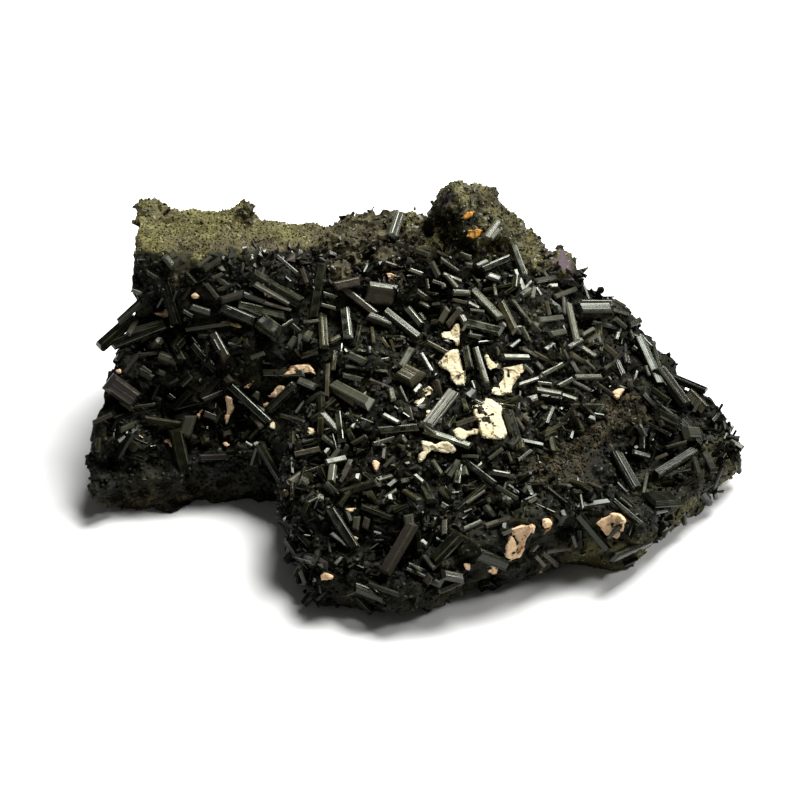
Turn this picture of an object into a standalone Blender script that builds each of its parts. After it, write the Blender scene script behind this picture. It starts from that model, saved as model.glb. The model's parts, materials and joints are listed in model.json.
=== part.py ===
"""Rough epidote: a broken block of dark massive epidote under a jackstraw coat of prisms.

Frame: +X to the right, +Y to the back, +Z up, origin on the face that the block rests on.
The sizes below are in millimetres, and MM turns them into metres.
"""

import math
import random

import bmesh
import bpy
from mathutils import Matrix, Vector, noise
from mathutils.bvhtree import BVHTree

MM = 0.001

# Plan outline of the block, anticlockwise from the front left corner. The front left is stepped back
# from the middle, where the block juts forward.
OUTLINE = (
    (-62.0, -18.0), (-53.0, -17.5), (-44.0, -13.5), (-34.0, -11.0), (-23.0, -9.5),
    (-22.3, -22.0), (-22.5, -35.0), (-16.5, -44.0), (-8.0, -42.0),
    (-1.0, -47.0), (6.0, -43.5), (14.0, -39.5), (24.0, -37.0),
    (32.0, -32.5), (38.5, -31.5), (43.5, -38.5), (49.0, -28.5), (57.5, -18.5),
    (63.5, -12.0), (69.0, -5.0), (69.0, -0.5), (63.0, 7.5), (56.0, 12.0),
    (47.5, 22.0), (36.0, 29.0), (26.0, 34.0), (14.0, 36.5),
    (4.0, 35.0), (-8.0, 37.0), (-22.0, 35.5), (-36.0, 36.0),
    (-55.5, 38.5), (-53.0, 27.0), (-52.0, 17.0), (-54.0, 11.0), (-58.0, 4.0), (-61.5, -5.0),
)

# Heights of the rock's top surface at plan points, by region
SHELF = (
    (-51.0, 34.0, 43.5), (-50.0, 18.0, 41.5), (-40.0, 32.0, 40.0), (-31.0, 32.0, 45.0), (-36.0, 18.0, 41.0),
    (-24.0, 32.0, 38.0), (-22.0, 20.0, 38.0), (-9.0, 22.0, 36.0),
)
LEFT_FACE = (
    (-56.0, 5.0, 26.0), (-50.0, 8.0, 27.0), (-35.0, 8.0, 27.0), (-20.0, 8.0, 29.0),
    (-57.0, -4.0, 14.0), (-48.0, -4.0, 12.5), (-34.0, -4.0, 12.0), (-26.0, -5.0, 14.0),
    (-57.0, -14.0, 8.0), (-45.0, -12.0, 7.0),
)
KNOB = (
    (-15.0, 32.0, 38.0), (-7.0, 32.0, 41.0), (-1.0, 32.0, 43.5), (3.5, 29.0, 36.5), (13.0, 28.0, 51.3),
    (22.0, 29.0, 44.6), (14.0, 20.0, 42.0), (28.0, 28.0, 32.0), (33.0, 27.0, 31.0), (20.0, 12.0, 34.0),
)
MIDDLE = (
    (-8.0, 8.0, 29.0), (5.0, 5.0, 30.0), (-12.0, -10.0, 23.0), (0.0, -10.0, 24.0),
    (18.0, -10.0, 24.5), (-14.0, -26.0, 17.5), (0.0, -30.0, 16.5), (15.0, -27.0, 16.5),
    (-1.0, -41.0, 9.0), (-14.0, -38.0, 10.0),
)
RIGHT_SLOPE = (
    (38.0, 22.0, 26.5), (34.0, 4.0, 27.0), (48.0, 14.0, 18.5), (48.0, -4.0, 19.0),
    (30.0, -20.0, 17.5), (42.0, -22.0, 13.0), (56.0, 3.0, 13.5), (62.0, -3.0, 9.5), (59.0, 7.0, 13.8),
    (52.0, -16.0, 11.0),
)
HEIGHTS = SHELF + LEFT_FACE + KNOB + MIDDLE + RIGHT_SLOPE
HEIGHT_FOCUS = 4.0
HEIGHT_SOFTNESS = 3.0

# The rock: how finely it is worked, and how rough it is
CAGE_CUTS = 21
REMESH_SIZE = 1.5
ROCK_TRIANGLES = 1500
TOP_INSET = 0.985
UNDERCUT = 0.93
TUCK_HEIGHT = 5.0
BELLY_DEPTH = 2.2
GROUND_SIZE = (200.0, 160.0, 40.0)
LUMP_WAVE = 15.0
LUMP_RISE = 1.5
CHIP_WAVE = 5.0
CHIP_RISE = 0.8

# Flat breaks across the back, the ends and the shelf: a place in millimetres, the heading and tilt
# that the break faces, and how far it runs. The surface within its run doesn't stand out past it.
BREAKS = (
    (-41.0, 35.0, 27.0, 96.0, 6.0, 15.0), (-20.0, 33.5, 25.0, 84.0, -7.0, 13.0),
    (-32.0, 34.0, 7.0, 92.0, -14.0, 12.0), (-3.0, 34.0, 28.0, 99.0, 10.0, 13.0),
    (-10.0, 34.5, 8.0, 80.0, -8.0, 11.0), (14.0, 34.5, 31.0, 84.0, 9.0, 13.0),
    (12.0, 33.5, 11.0, 96.0, -9.0, 13.0), (30.0, 31.5, 13.0, 66.0, 8.0, 13.0),
    (46.0, 21.5, 9.0, 48.0, 12.0, 12.0),
    (-52.8, 27.0, 28.0, 176.0, 2.0, 12.0), (-52.0, 30.0, 8.0, 190.0, -9.0, 11.0),
    (-61.4, 0.0, 7.0, 176.0, 5.0, 9.0), (-40.0, 27.0, 43.4, 100.0, 86.0, 12.0),
    (-25.0, 24.0, 39.2, 60.0, 84.0, 11.0), (-46.0, -13.8, 3.0, 258.0, -5.0, 10.0),
    (15.0, 33.0, 47.0, 80.0, 52.0, 7.0), (-18.0, -34.0, 6.0, 196.0, 5.0, 9.0),
)
SEAT_GAP = 0.35

# Crystals are given by the place of their middle, their heading in plan and their tilt above the
# horizontal in degrees, and their length, width and thickness. These stand clear of their neighbours.
LARGE_CRYSTALS = (
    (-24.7, 14.8, 34.7, -19, -24, 12.5, 2.8, 2.3), (-45.5, 11.9, 33.1, -57, -60, 9.0, 2.2, 1.6),
    (-25.7, 8.2, 29.2, -42, -10, 6.5, 3.6, 3.0), (-51.9, 9.1, 27.4, 18, 14, 12.5, 2.4, 1.8),
    (-16.5, 15.4, 33.4, 76, 50, 12.0, 2.2, 1.6), (-10.4, 9.8, 29.2, -84, -14, 8.5, 2.2, 1.8),
    (-3.8, 14.4, 33.6, -7, -5, 6.5, 4.6, 1.4), (0.4, 8.4, 30.1, -45, -10, 10.5, 1.9, 1.5),
    (17.2, 9.3, 34.2, -56, -8, 10.5, 1.9, 1.5), (2.0, -3.6, 26.3, -34, -6, 6.0, 4.0, 3.4),
    (-9.1, -6.4, 23.7, -48, 8, 12.5, 2.8, 2.4), (34.2, 11.6, 28.3, -83, -10, 11.0, 1.5, 1.2),
    (38.8, 17.2, 26.9, 15, -10, 8.0, 3.2, 2.6), (54.3, 6.1, 16.2, -41, -38, 10.5, 2.8, 2.2),
    (58.0, -2.4, 11.9, -43, -26, 7.0, 4.4, 1.5), (43.5, -17.3, 13.8, -63, -22, 9.5, 2.6, 1.8),
    (54.1, -11.0, 10.6, 42, 0, 12.0, 2.1, 1.6), (45.0, -27.0, 11.5, -15, -40, 11.0, 2.3, 1.8),
    (-43.5, -6.5, 9.6, -70, -51, 10.0, 3.0, 2.6), (-55.2, 1.0, 19.6, -8, -40, 7.5, 4.0, 3.2),
    (7.6, -12.0, 24.4, 57, 12, 11.0, 2.7, 2.2), (-10.8, -33.8, 13.8, -53, -28, 10.0, 2.0, 1.5),
    (0.1, -38.2, 12.4, 52, 36, 11.5, 2.6, 2.2), (15.1, -23.2, 18.6, -47, -6, 9.5, 1.5, 1.2),
)

# Smaller crystals seen one by one, which cross their neighbours and so are fused to the rock
MARKED_CRYSTALS = (
    (-27.5, 11.6, 31.2, -6, -12, 10.5, 2.2, 1.6), (-32.1, 10.5, 31.2, -19, -15, 8.0, 2.2, 1.6),
    (-35.6, 6.5, 26.2, -57, -28, 7.0, 2.1, 1.6), (-56.2, 9.1, 27.5, 40, 22, 10.0, 2.6, 2.0),
    (-10.6, 15.9, 34.9, 13, 6, 6.0, 2.0, 1.6), (-8.0, 14.0, 32.0, -35, -22, 9.0, 1.6, 1.3),
    (-15.4, 8.3, 28.4, -86, -12, 9.5, 2.0, 1.6), (16.6, 4.5, 32.3, -23, 0, 8.0, 2.1, 1.7),
    (19.0, 18.5, 37.9, 29, 6, 7.0, 1.6, 1.3), (23.5, 19.8, 37.6, -73, -20, 8.5, 1.7, 1.3),
    (50.3, 10.5, 19.2, -70, -20, 13.0, 2.2, 1.8), (59.5, 5.6, 12.9, -44, -24, 6.0, 3.2, 1.3),
    (57.8, 8.6, 15.2, -11, -20, 9.0, 1.8, 1.4), (52.2, -4.4, 15.8, -11, -24, 6.5, 3.2, 2.6),
    (36.5, -31.6, 11.3, -20, -48, 10.0, 1.7, 1.4), (44.0, -32.2, 7.5, 45, -14, 12.0, 2.1, 1.6),
    (50.0, -23.5, 11.7, 37, -24, 8.0, 5.0, 1.6), (-29.7, -0.6, 17.4, -41, -20, 12.0, 1.8, 1.4),
    (-23.7, -0.7, 18.4, 11, 45, 11.0, 2.2, 1.7), (-22.9, 2.6, 22.6, -17, 12, 9.5, 1.7, 1.3),
    (-0.3, -15.7, 23.1, 3, 4, 8.5, 1.8, 1.2), (9.1, -17.8, 22.4, -20, -8, 10.0, 1.5, 1.2),
    (5.2, -28.0, 16.6, -73, 4, 6.5, 2.1, 1.7), (13.3, -29.2, 16.9, 43, 14, 8.5, 1.4, 1.1),
    (16.4, -35.6, 15.6, 13, 10, 9.5, 1.5, 1.2), (8.8, -39.6, 13.3, 38, 28, 8.0, 2.9, 2.2),
    (17.0, -39.6, 11.6, 10, -32, 8.0, 2.6, 2.0), (-3.0, -44.5, 6.2, -7, -22, 11.5, 2.0, 1.6),
    (4.8, -42.3, 9.3, -27, -6, 8.0, 2.4, 1.9),
)
PRISM_SHARE_BURIED = 0.25
ROOF_SLOPE = 0.6

# Cream mineral that fills the gaps between the crystals: place, heading and tilt, and half sizes
PALE_PATCHES = (
    (10.9, -1.4, 27.9, -87, -32, 4.0, 2.1, 1.9), (21.6, -4.4, 25.9, 53, 10, 5.4, 1.8, 1.7),
    (17.6, -14.0, 24.6, -88, -14, 5.2, 3.2, 2.0), (7.5, -19.4, 21.8, 5, 2, 4.0, 1.6, 1.6),
    (21.5, -37.6, 13.9, 37, 60, 4.0, 1.9, 1.6), (40.4, -31.9, 13.2, -2, -27, 3.2, 2.4, 1.6),
    (-20.1, 2.0, 23.6, 1, 14, 3.6, 1.4, 1.5), (-32.4, -0.4, 16.1, -82, -60, 3.3, 1.3, 1.4),
)
PALE_WAVE = 3.0
PALE_RISE = 0.5

# The coat of small prisms that is fused to the rock
COAT_SEED = 11
COAT_COUNT = 56
COAT_SPACING = 6.4
COAT_LENGTH = (9.0, 14.0)
COAT_WIDTH = (2.2, 3.4)
COAT_FLATNESS = (0.55, 0.85)
COAT_ROLL = 0.8
COAT_SLANT = 0.7
CLEAR_OF_LARGE = 4.5
CLEAR_OF_PALE = 4.0
RIM_CLEARANCE = 0.4
TIP_RISE = 2.6
LOWEST_TIP = 0.5
POINT_TRIES = 60
JACKSTRAW_TRIES = 12
SHELF_FRONT = 15.0
SHELF_RIGHT = -4.0
SHELF_FLOOR = 33.0
KNOB_FLOOR = 39.0
BACK_EDGE = 31.0
FOOT_TOP = 4.0

COLOURS = {
    "dark_epidote": (0.045, 0.052, 0.030),
    "crystal_epidote": (0.018, 0.024, 0.017),
    "pale_mineral": (0.62, 0.53, 0.36),
}


def finish_material(name, roughness):
    """A plain Principled finish in one of the part's colours."""
    material = bpy.data.materials.new(name)
    material.use_nodes = True
    shader = material.node_tree.nodes["Principled BSDF"]
    shader.inputs["Base Color"].default_value = (*COLOURS[name], 1.0)
    shader.inputs["Roughness"].default_value = roughness
    return material


def add_object(name, mesh, collection, material=None):
    obj = bpy.data.objects.new(name, mesh)
    collection.objects.link(obj)
    if material:
        obj.data.materials.clear()
        obj.data.materials.append(material)
    return obj


def mesh_from(bm, name):
    mesh = bpy.data.meshes.new(name)
    bm.to_mesh(mesh)
    bm.free()
    return mesh


def applied(obj):
    """Replaces the object's mesh by what its modifiers make of it."""
    graph = bpy.context.evaluated_depsgraph_get()
    obj.data = bpy.data.meshes.new_from_object(obj.evaluated_get(graph))
    obj.modifiers.clear()
    return obj


def boolean(obj, other, operation, self_crossing=False):
    cut = obj.modifiers.new(operation.lower(), "BOOLEAN")
    cut.operation = operation
    cut.solver = "EXACT"
    cut.use_self = self_crossing
    cut.object = other
    return applied(obj)


def keep_largest_island(obj):
    """Drops the chips that a socket cut leaves loose, so that the solid is one body."""
    bm = bmesh.new()
    bm.from_mesh(obj.data)
    unseen = set(bm.verts)
    islands = []
    while unseen:
        edge_of_island = [unseen.pop()]
        island = set(edge_of_island)
        while edge_of_island:
            vert = edge_of_island.pop()
            for edge in vert.link_edges:
                other = edge.other_vert(vert)
                if other in unseen:
                    unseen.discard(other)
                    island.add(other)
                    edge_of_island.append(other)
        islands.append(island)
    islands.sort(key=len)
    for island in islands[:-1]:
        bmesh.ops.delete(bm, geom=list(island), context="VERTS")
    bm.to_mesh(obj.data)
    bm.free()


def heading_and_tilt(heading, tilt):
    level = math.cos(math.radians(tilt))
    turn = math.radians(heading)
    return Vector((level * math.cos(turn), level * math.sin(turn), math.sin(math.radians(tilt))))


def reach(angle):
    """Distance from the origin to the plan outline, along an angle."""
    way = Vector((math.cos(angle), math.sin(angle)))
    for start, end in zip(OUTLINE, OUTLINE[1:] + OUTLINE[:1]):
        a, b = Vector(start), Vector(end)
        side = b - a
        facing = way.x * side.y - way.y * side.x
        if abs(facing) < 1e-9:
            continue
        along = (a.x * side.y - a.y * side.x) / facing
        share = (a.x * way.y - a.y * way.x) / facing
        if along > 0 and -1e-6 <= share <= 1 + 1e-6:
            return along
    return 0.0


def top_height(x, y):
    """Height of the rock's top surface: nearby height points count most."""
    total = weight = 0.0
    for px, py, pz in HEIGHTS:
        near = 1.0 / (math.hypot(x - px, y - py) ** HEIGHT_FOCUS + HEIGHT_SOFTNESS**HEIGHT_FOCUS)
        total += near * pz
        weight += near
    return total / weight


def rock_point(u, v, w):
    """Where a point of the unit cage goes: its top is the top surface, its sides are the walls."""
    radius = max(abs(u), abs(v))
    angle = math.atan2(v, u)
    rim = reach(angle)
    if w > 1 - 1e-6:
        spread = radius * TOP_INSET
        x, y = spread * rim * math.cos(angle), spread * rim * math.sin(angle)
        return Vector((x, y, top_height(x, y)))
    if w < -1 + 1e-6:
        spread = radius * UNDERCUT
        x, y = spread * rim * math.cos(angle), spread * rim * math.sin(angle)
        return Vector((x, y, -BELLY_DEPTH * (1 - radius**6)))
    share = (w + 1) / 2
    x, y = rim * math.cos(angle), rim * math.sin(angle)
    z = share * top_height(x, y)
    tuck = UNDERCUT + (1 - UNDERCUT) * min(1.0, z / TUCK_HEIGHT)
    return Vector((x * tuck, y * tuck, z))


def roughness_at(point):
    """How far the broken surface stands out at a point, in millimetres."""
    lumps = noise.noise(point / LUMP_WAVE) * 2 * LUMP_RISE
    chips = noise.noise(point / CHIP_WAVE + Vector((7.0, 3.0, 1.0))) * 2 * CHIP_RISE
    return lumps + chips


def broken_off(point):
    """Lays a point back onto the flat breaks that it stands out past."""
    for x, y, z, heading, tilt, run in BREAKS:
        from_middle = point - Vector((x, y, z))
        facing = heading_and_tilt(heading, tilt)
        past = from_middle.dot(facing)
        if past > 0 and from_middle.length < run:
            point = point - facing * past
    return point


def evened(obj):
    """Gives the surface faces of one size, with no folds."""
    remesh = obj.modifiers.new("even", "REMESH")
    remesh.mode = "VOXEL"
    remesh.voxel_size = REMESH_SIZE * MM
    return applied(obj)


def rock_surface(collection, material):
    """The broken surface at its full fineness: a cage that follows the outline, then lumps and chips."""
    bm = bmesh.new()
    bmesh.ops.create_cube(bm, size=2.0)
    bmesh.ops.subdivide_edges(bm, edges=bm.edges, cuts=CAGE_CUTS, use_grid_fill=True)
    for vert in bm.verts:
        vert.co = rock_point(*vert.co) * MM
    rock = add_object("matrix", mesh_from(bm, "matrix"), collection, material)
    evened(rock)
    normals = [vert.normal.copy() for vert in rock.data.vertices]
    for vert, normal in zip(rock.data.vertices, normals):
        point = vert.co / MM
        vert.co = broken_off(point + normal * roughness_at(point)) * MM
    return evened(rock)


def chipped(rock):
    """Turns the fine surface into the flat chips of broken rock."""
    chips = rock.modifiers.new("chips", "DECIMATE")
    chips.ratio = ROCK_TRIANGLES / (2 * len(rock.data.polygons))
    chips.use_collapse_triangulate = True
    return applied(rock)


def add_helper(name, bm, helpers):
    """A shape that cuts the rock or is joined to it. Its faces are triangles, so none of them is bent."""
    bmesh.ops.triangulate(bm, faces=bm.faces)
    helper = add_object(name, mesh_from(bm, name), helpers)
    helper.hide_render = True
    helper.display_type = "WIRE"
    return helper


def add_ground(helpers):
    """The block below the resting face, which cuts it flat."""
    bm = bmesh.new()
    bmesh.ops.create_cube(bm, size=1.0)
    size = Vector(GROUND_SIZE) * MM
    bmesh.ops.transform(bm, matrix=Matrix.Diagonal((*size, 1.0)), verts=bm.verts)
    bmesh.ops.translate(bm, vec=(0, 0, -size.z / 2), verts=bm.verts)
    return add_helper("ground_cutter", bm, helpers)


def add_prism(bm, place, length, width, thickness):
    """One epidote prism: a flat face above and below, four sloping sides, and a roof on each end."""
    made = bmesh.ops.create_cone(
        bm, cap_ends=True, segments=6, radius1=0.5, radius2=0.5, depth=1.0
    )["verts"]
    for vert in made:
        on_ridge = abs(vert.co.x) < 0.1
        side = math.copysign(0.5 if on_ridge else 0.32, vert.co.y) * width
        face = 0.0 if on_ridge else math.copysign(0.5, -vert.co.x) * thickness
        end = math.copysign(length / 2 - abs(face) * ROOF_SLOPE, vert.co.z)
        vert.co = Vector((side, face, end)) * MM
    for cap in {f for v in made for f in v.link_faces if len(f.verts) == 6}:
        bmesh.ops.connect_verts(bm, verts=[v for v in cap.verts if v.co.y == 0.0])
    bmesh.ops.transform(bm, matrix=place, verts=made)
    return made


def laid(centre, axis, normal, roll=0.0):
    """A matrix that lays a prism along an axis at a point in millimetres, its flat face outwards."""
    along = axis.normalized()
    outwards = (normal - along * normal.dot(along)).normalized()
    turn = Matrix((outwards.cross(along), outwards, along)).transposed().to_4x4()
    return Matrix.Translation(centre * MM) @ turn @ Matrix.Rotation(roll, 4, "Z")


def tree_of(obj):
    bm = bmesh.new()
    bm.from_mesh(obj.data)
    tree = BVHTree.FromBMesh(bm)
    bm.free()
    return tree


def marked_place(tree, row, margin=0.0):
    """Where a listed crystal lies, with what add_prism asks for. It sits partly in the rock."""
    x, y, z, heading, tilt, length, width, thickness = row
    centre = Vector((x, y, z))
    normal = tree.find_nearest(centre * MM)[1]
    centre = centre + normal * thickness * PRISM_SHARE_BURIED
    place = laid(centre, heading_and_tilt(heading, tilt), normal)
    return place, length + 2 * margin, width + 2 * margin, thickness + 2 * margin


def add_patch(bm, row, margin=0.0):
    """One lump of the pale mineral: an egg with a worn, uneven surface."""
    x, y, z, heading, tilt, *halves = row
    made = bmesh.ops.create_icosphere(bm, subdivisions=2, radius=1.0)["verts"]
    axis = heading_and_tilt(heading, tilt)
    turn = axis.to_track_quat("X", "Z").to_matrix()
    for vert in made:
        egg = Vector(vert.co[i] * (halves[i] + margin) for i in range(3))
        wear = 1.0 + noise.noise(Vector((x, y, z)) + vert.co * PALE_WAVE) * PALE_RISE
        vert.co = (Vector((x, y, z)) + turn @ (egg * wear)) * MM
    return made


def coat_grows_at(point, normal):
    """Prisms cover the front and the slopes, but not the shelf, the knob's top, the back or the foot."""
    on_shelf = point.y > SHELF_FRONT and point.x < SHELF_RIGHT and point.z > SHELF_FLOOR
    on_knob = point.z > KNOB_FLOOR and point.x > SHELF_RIGHT
    at_back = normal.y > 0.35 or point.y > BACK_EDGE
    at_foot = point.z < FOOT_TOP or normal.z < -0.2
    near_large = any((point - Vector(row[:3])).length < CLEAR_OF_LARGE for row in LARGE_CRYSTALS)
    near_pale = any((point - Vector(row[:3])).length < CLEAR_OF_PALE for row in PALE_PATCHES)
    return not (on_shelf or on_knob or at_back or at_foot or near_large or near_pale)


def surface_points(obj, count, spacing, seed):
    """Points spread over the rock where the coat grows, each with its normal, in millimetres."""
    picker = random.Random(seed)
    obj.data.calc_loop_triangles()
    faces = [(t.area, t) for t in obj.data.loop_triangles]
    areas = [area for area, _ in faces]
    found = []
    for _ in range(count * POINT_TRIES):
        triangle = picker.choices(faces, weights=areas)[0][1]
        a, b, c = (obj.data.vertices[i].co for i in triangle.vertices)
        s, t = sorted((picker.random(), picker.random()))
        point = (a * s + b * (t - s) + c * (1 - t)) / MM
        apart = all((point - other).length > spacing for other, _ in found)
        if apart and coat_grows_at(point, triangle.normal):
            found.append((point, triangle.normal.copy()))
        if len(found) == count:
            break
    return found


def within_rim(point):
    """Whether a point in millimetres is above the ground, inside the outline and not far above the top."""
    past = math.hypot(point.x, point.y) - reach(math.atan2(point.y, point.x))
    rise = point.z - top_height(point.x, point.y)
    return past < -RIM_CLEARANCE and rise < TIP_RISE and point.z > LOWEST_TIP


def jackstraw_axis(centre, normal, length, picker):
    """A random way for a prism to lie: mostly along the surface, with one end standing a little proud."""
    across = normal.orthogonal().normalized()
    for _ in range(JACKSTRAW_TRIES):
        heading = Matrix.Rotation(picker.uniform(0, 2 * math.pi), 3, normal) @ across
        axis = (heading + normal * picker.uniform(0.0, COAT_SLANT)).normalized()
        half = axis * length / 2
        if within_rim(centre + half) and within_rim(centre - half):
            return axis
    return None


def make_coat(tree, points, helpers):
    """The small prisms, as one mesh that crosses itself until it is joined to the rock."""
    picker = random.Random(COAT_SEED)
    bm = bmesh.new()
    for row in MARKED_CRYSTALS:
        add_prism(bm, *marked_place(tree, row))
    for point, normal in points:
        length = picker.uniform(*COAT_LENGTH)
        width = picker.uniform(*COAT_WIDTH)
        thickness = width * picker.uniform(*COAT_FLATNESS)
        roll = picker.uniform(-COAT_ROLL, COAT_ROLL)
        centre = point + normal * thickness * PRISM_SHARE_BURIED
        axis = jackstraw_axis(centre, normal, length, picker)
        if axis:
            add_prism(bm, laid(centre, axis, normal, roll), length, width, thickness)
    return add_helper("coat_helper", bm, helpers)


def make_seats(tree, helpers):
    """What the rock is cut by, so that each large crystal and pale patch sits in it with a small gap."""
    bm = bmesh.new()
    for row in LARGE_CRYSTALS:
        add_prism(bm, *marked_place(tree, row, SEAT_GAP))
    for row in PALE_PATCHES:
        add_patch(bm, row, SEAT_GAP)
    return add_helper("seat_cutter", bm, helpers)


def make_large_crystals(tree, collection, material):
    for number, row in enumerate(LARGE_CRYSTALS, 1):
        name = f"large_crystal_{number:02d}"
        bm = bmesh.new()
        add_prism(bm, *marked_place(tree, row))
        add_object(name, mesh_from(bm, name), collection, material)


def make_pale_patches(collection, material):
    for number, row in enumerate(PALE_PATCHES, 1):
        name = f"pale_patch_{number:02d}"
        bm = bmesh.new()
        add_patch(bm, row)
        add_object(name, mesh_from(bm, name), collection, material)


def main():
    for obj in list(bpy.data.objects):
        bpy.data.objects.remove(obj, do_unlink=True)
    part = bpy.data.collections.new("rough_epidote")
    helpers = bpy.data.collections.new("helpers")
    for collection in (part, helpers):
        bpy.context.scene.collection.children.link(collection)
    dark = finish_material("dark_epidote", 0.75)
    rock = rock_surface(part, dark)
    tree = tree_of(rock)
    points = surface_points(rock, COAT_COUNT, COAT_SPACING, COAT_SEED)
    coat = make_coat(tree, points, helpers)
    seats = make_seats(tree, helpers)
    chipped(rock)
    boolean(rock, coat, "UNION", self_crossing=True)
    boolean(rock, add_ground(helpers), "DIFFERENCE")
    boolean(rock, seats, "DIFFERENCE", self_crossing=True)
    keep_largest_island(rock)
    make_large_crystals(tree, part, finish_material("crystal_epidote", 0.25))
    make_pale_patches(part, finish_material("pale_mineral", 0.9))


main()
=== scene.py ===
"""Rough epidote, dressed: a broken block of granular epidote under a jackstraw coat of prisms.

Frame: +X to the right, +Y to the back, +Z up, in metres. Tables of places are in millimetres.
"""

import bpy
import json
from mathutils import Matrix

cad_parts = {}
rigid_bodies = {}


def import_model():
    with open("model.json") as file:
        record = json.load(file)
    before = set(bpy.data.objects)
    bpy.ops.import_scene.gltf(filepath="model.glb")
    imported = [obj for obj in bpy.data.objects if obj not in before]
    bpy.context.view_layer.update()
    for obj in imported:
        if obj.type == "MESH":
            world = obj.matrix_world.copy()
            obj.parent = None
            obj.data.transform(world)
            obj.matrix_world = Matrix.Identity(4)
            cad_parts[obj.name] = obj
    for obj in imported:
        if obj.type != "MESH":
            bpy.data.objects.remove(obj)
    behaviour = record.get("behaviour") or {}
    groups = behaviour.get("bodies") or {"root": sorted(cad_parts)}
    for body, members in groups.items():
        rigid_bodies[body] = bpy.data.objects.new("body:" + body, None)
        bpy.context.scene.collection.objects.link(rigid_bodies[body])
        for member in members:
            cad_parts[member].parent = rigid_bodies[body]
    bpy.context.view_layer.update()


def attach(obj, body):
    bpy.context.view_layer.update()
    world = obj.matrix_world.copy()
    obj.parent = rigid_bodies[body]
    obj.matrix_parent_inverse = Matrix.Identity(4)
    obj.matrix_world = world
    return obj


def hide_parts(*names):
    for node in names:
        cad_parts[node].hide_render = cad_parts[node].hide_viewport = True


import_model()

import json
import math
import random

import bmesh
import bpy
import numpy as np
from bpy.props import FloatProperty, FloatVectorProperty, PointerProperty
from mathutils import Matrix, Vector, noise
from mathutils.bvhtree import BVHTree

bl_info = {
    "name": "Rough epidote",
    "version": (1, 0, 0),
    "blender": (4, 5, 0),
    "location": "View3D > Sidebar > Epidote",
    "description": "Dresses a rough epidote stone: rock, crystals, grains and pale mineral",
    "category": "Object",
}

MM = 0.001
FORM_NAME = "rock_form"

# Shape of the block, as in the part

OUTLINE = (
    (-62.0, -18.0), (-53.0, -17.5), (-44.0, -13.5), (-34.0, -11.0), (-23.0, -9.5),
    (-22.3, -22.0), (-22.5, -35.0), (-16.5, -44.0), (-8.0, -42.0),
    (-1.0, -47.0), (6.0, -43.5), (14.0, -39.5), (24.0, -37.0),
    (32.0, -32.5), (38.5, -31.5), (43.5, -38.5), (49.0, -28.5), (57.5, -18.5),
    (63.5, -12.0), (69.0, -5.0), (69.0, -0.5), (63.0, 7.5), (56.0, 12.0),
    (47.5, 22.0), (36.0, 29.0), (26.0, 34.0), (14.0, 36.5),
    (4.0, 35.0), (-8.0, 37.0), (-22.0, 35.5), (-36.0, 36.0),
    (-55.5, 38.5), (-53.0, 27.0), (-52.0, 17.0), (-54.0, 11.0), (-58.0, 4.0), (-61.5, -5.0),
)
SHELF = (
    (-51.0, 34.0, 43.5), (-50.0, 18.0, 41.5), (-40.0, 32.0, 40.0), (-31.0, 32.0, 45.0), (-36.0, 18.0, 41.0),
    (-24.0, 32.0, 38.0), (-22.0, 20.0, 38.0), (-9.0, 22.0, 36.0),
)
LEFT_FACE = (
    (-56.0, 5.0, 26.0), (-50.0, 8.0, 27.0), (-35.0, 8.0, 27.0), (-20.0, 8.0, 29.0),
    (-57.0, -4.0, 14.0), (-48.0, -4.0, 12.5), (-34.0, -4.0, 12.0), (-26.0, -5.0, 14.0),
    (-57.0, -14.0, 8.0), (-45.0, -12.0, 7.0),
)
KNOB = (
    (-15.0, 32.0, 38.0), (-7.0, 32.0, 41.0), (-1.0, 32.0, 43.5), (3.5, 29.0, 36.5), (13.0, 28.0, 51.3),
    (22.0, 29.0, 44.6), (14.0, 20.0, 42.0), (28.0, 28.0, 32.0), (33.0, 27.0, 31.0), (20.0, 12.0, 34.0),
)
MIDDLE = (
    (-8.0, 8.0, 29.0), (5.0, 5.0, 30.0), (-12.0, -10.0, 23.0), (0.0, -10.0, 24.0),
    (18.0, -10.0, 24.5), (-14.0, -26.0, 17.5), (0.0, -30.0, 16.5), (15.0, -27.0, 16.5),
    (-1.0, -41.0, 9.0), (-14.0, -38.0, 10.0),
)
RIGHT_SLOPE = (
    (38.0, 22.0, 26.5), (34.0, 4.0, 27.0), (48.0, 14.0, 18.5), (48.0, -4.0, 19.0),
    (30.0, -20.0, 17.5), (42.0, -22.0, 13.0), (56.0, 3.0, 13.5), (62.0, -3.0, 9.5), (59.0, 7.0, 13.8),
    (52.0, -16.0, 11.0),
)
HEIGHTS = SHELF + LEFT_FACE + KNOB + MIDDLE + RIGHT_SLOPE
HEIGHT_FOCUS = 4.0
HEIGHT_SOFTNESS = 3.0
CAGE_CUTS = 21
REMESH_SIZE = 1.5
UNDERCUT = 0.93
TUCK_HEIGHT = 5.0
BELLY_DEPTH = 2.2
LUMP_WAVE = 15.0
LUMP_RISE = 1.5
CHIP_WAVE = 5.0
CHIP_RISE = 0.8
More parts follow.
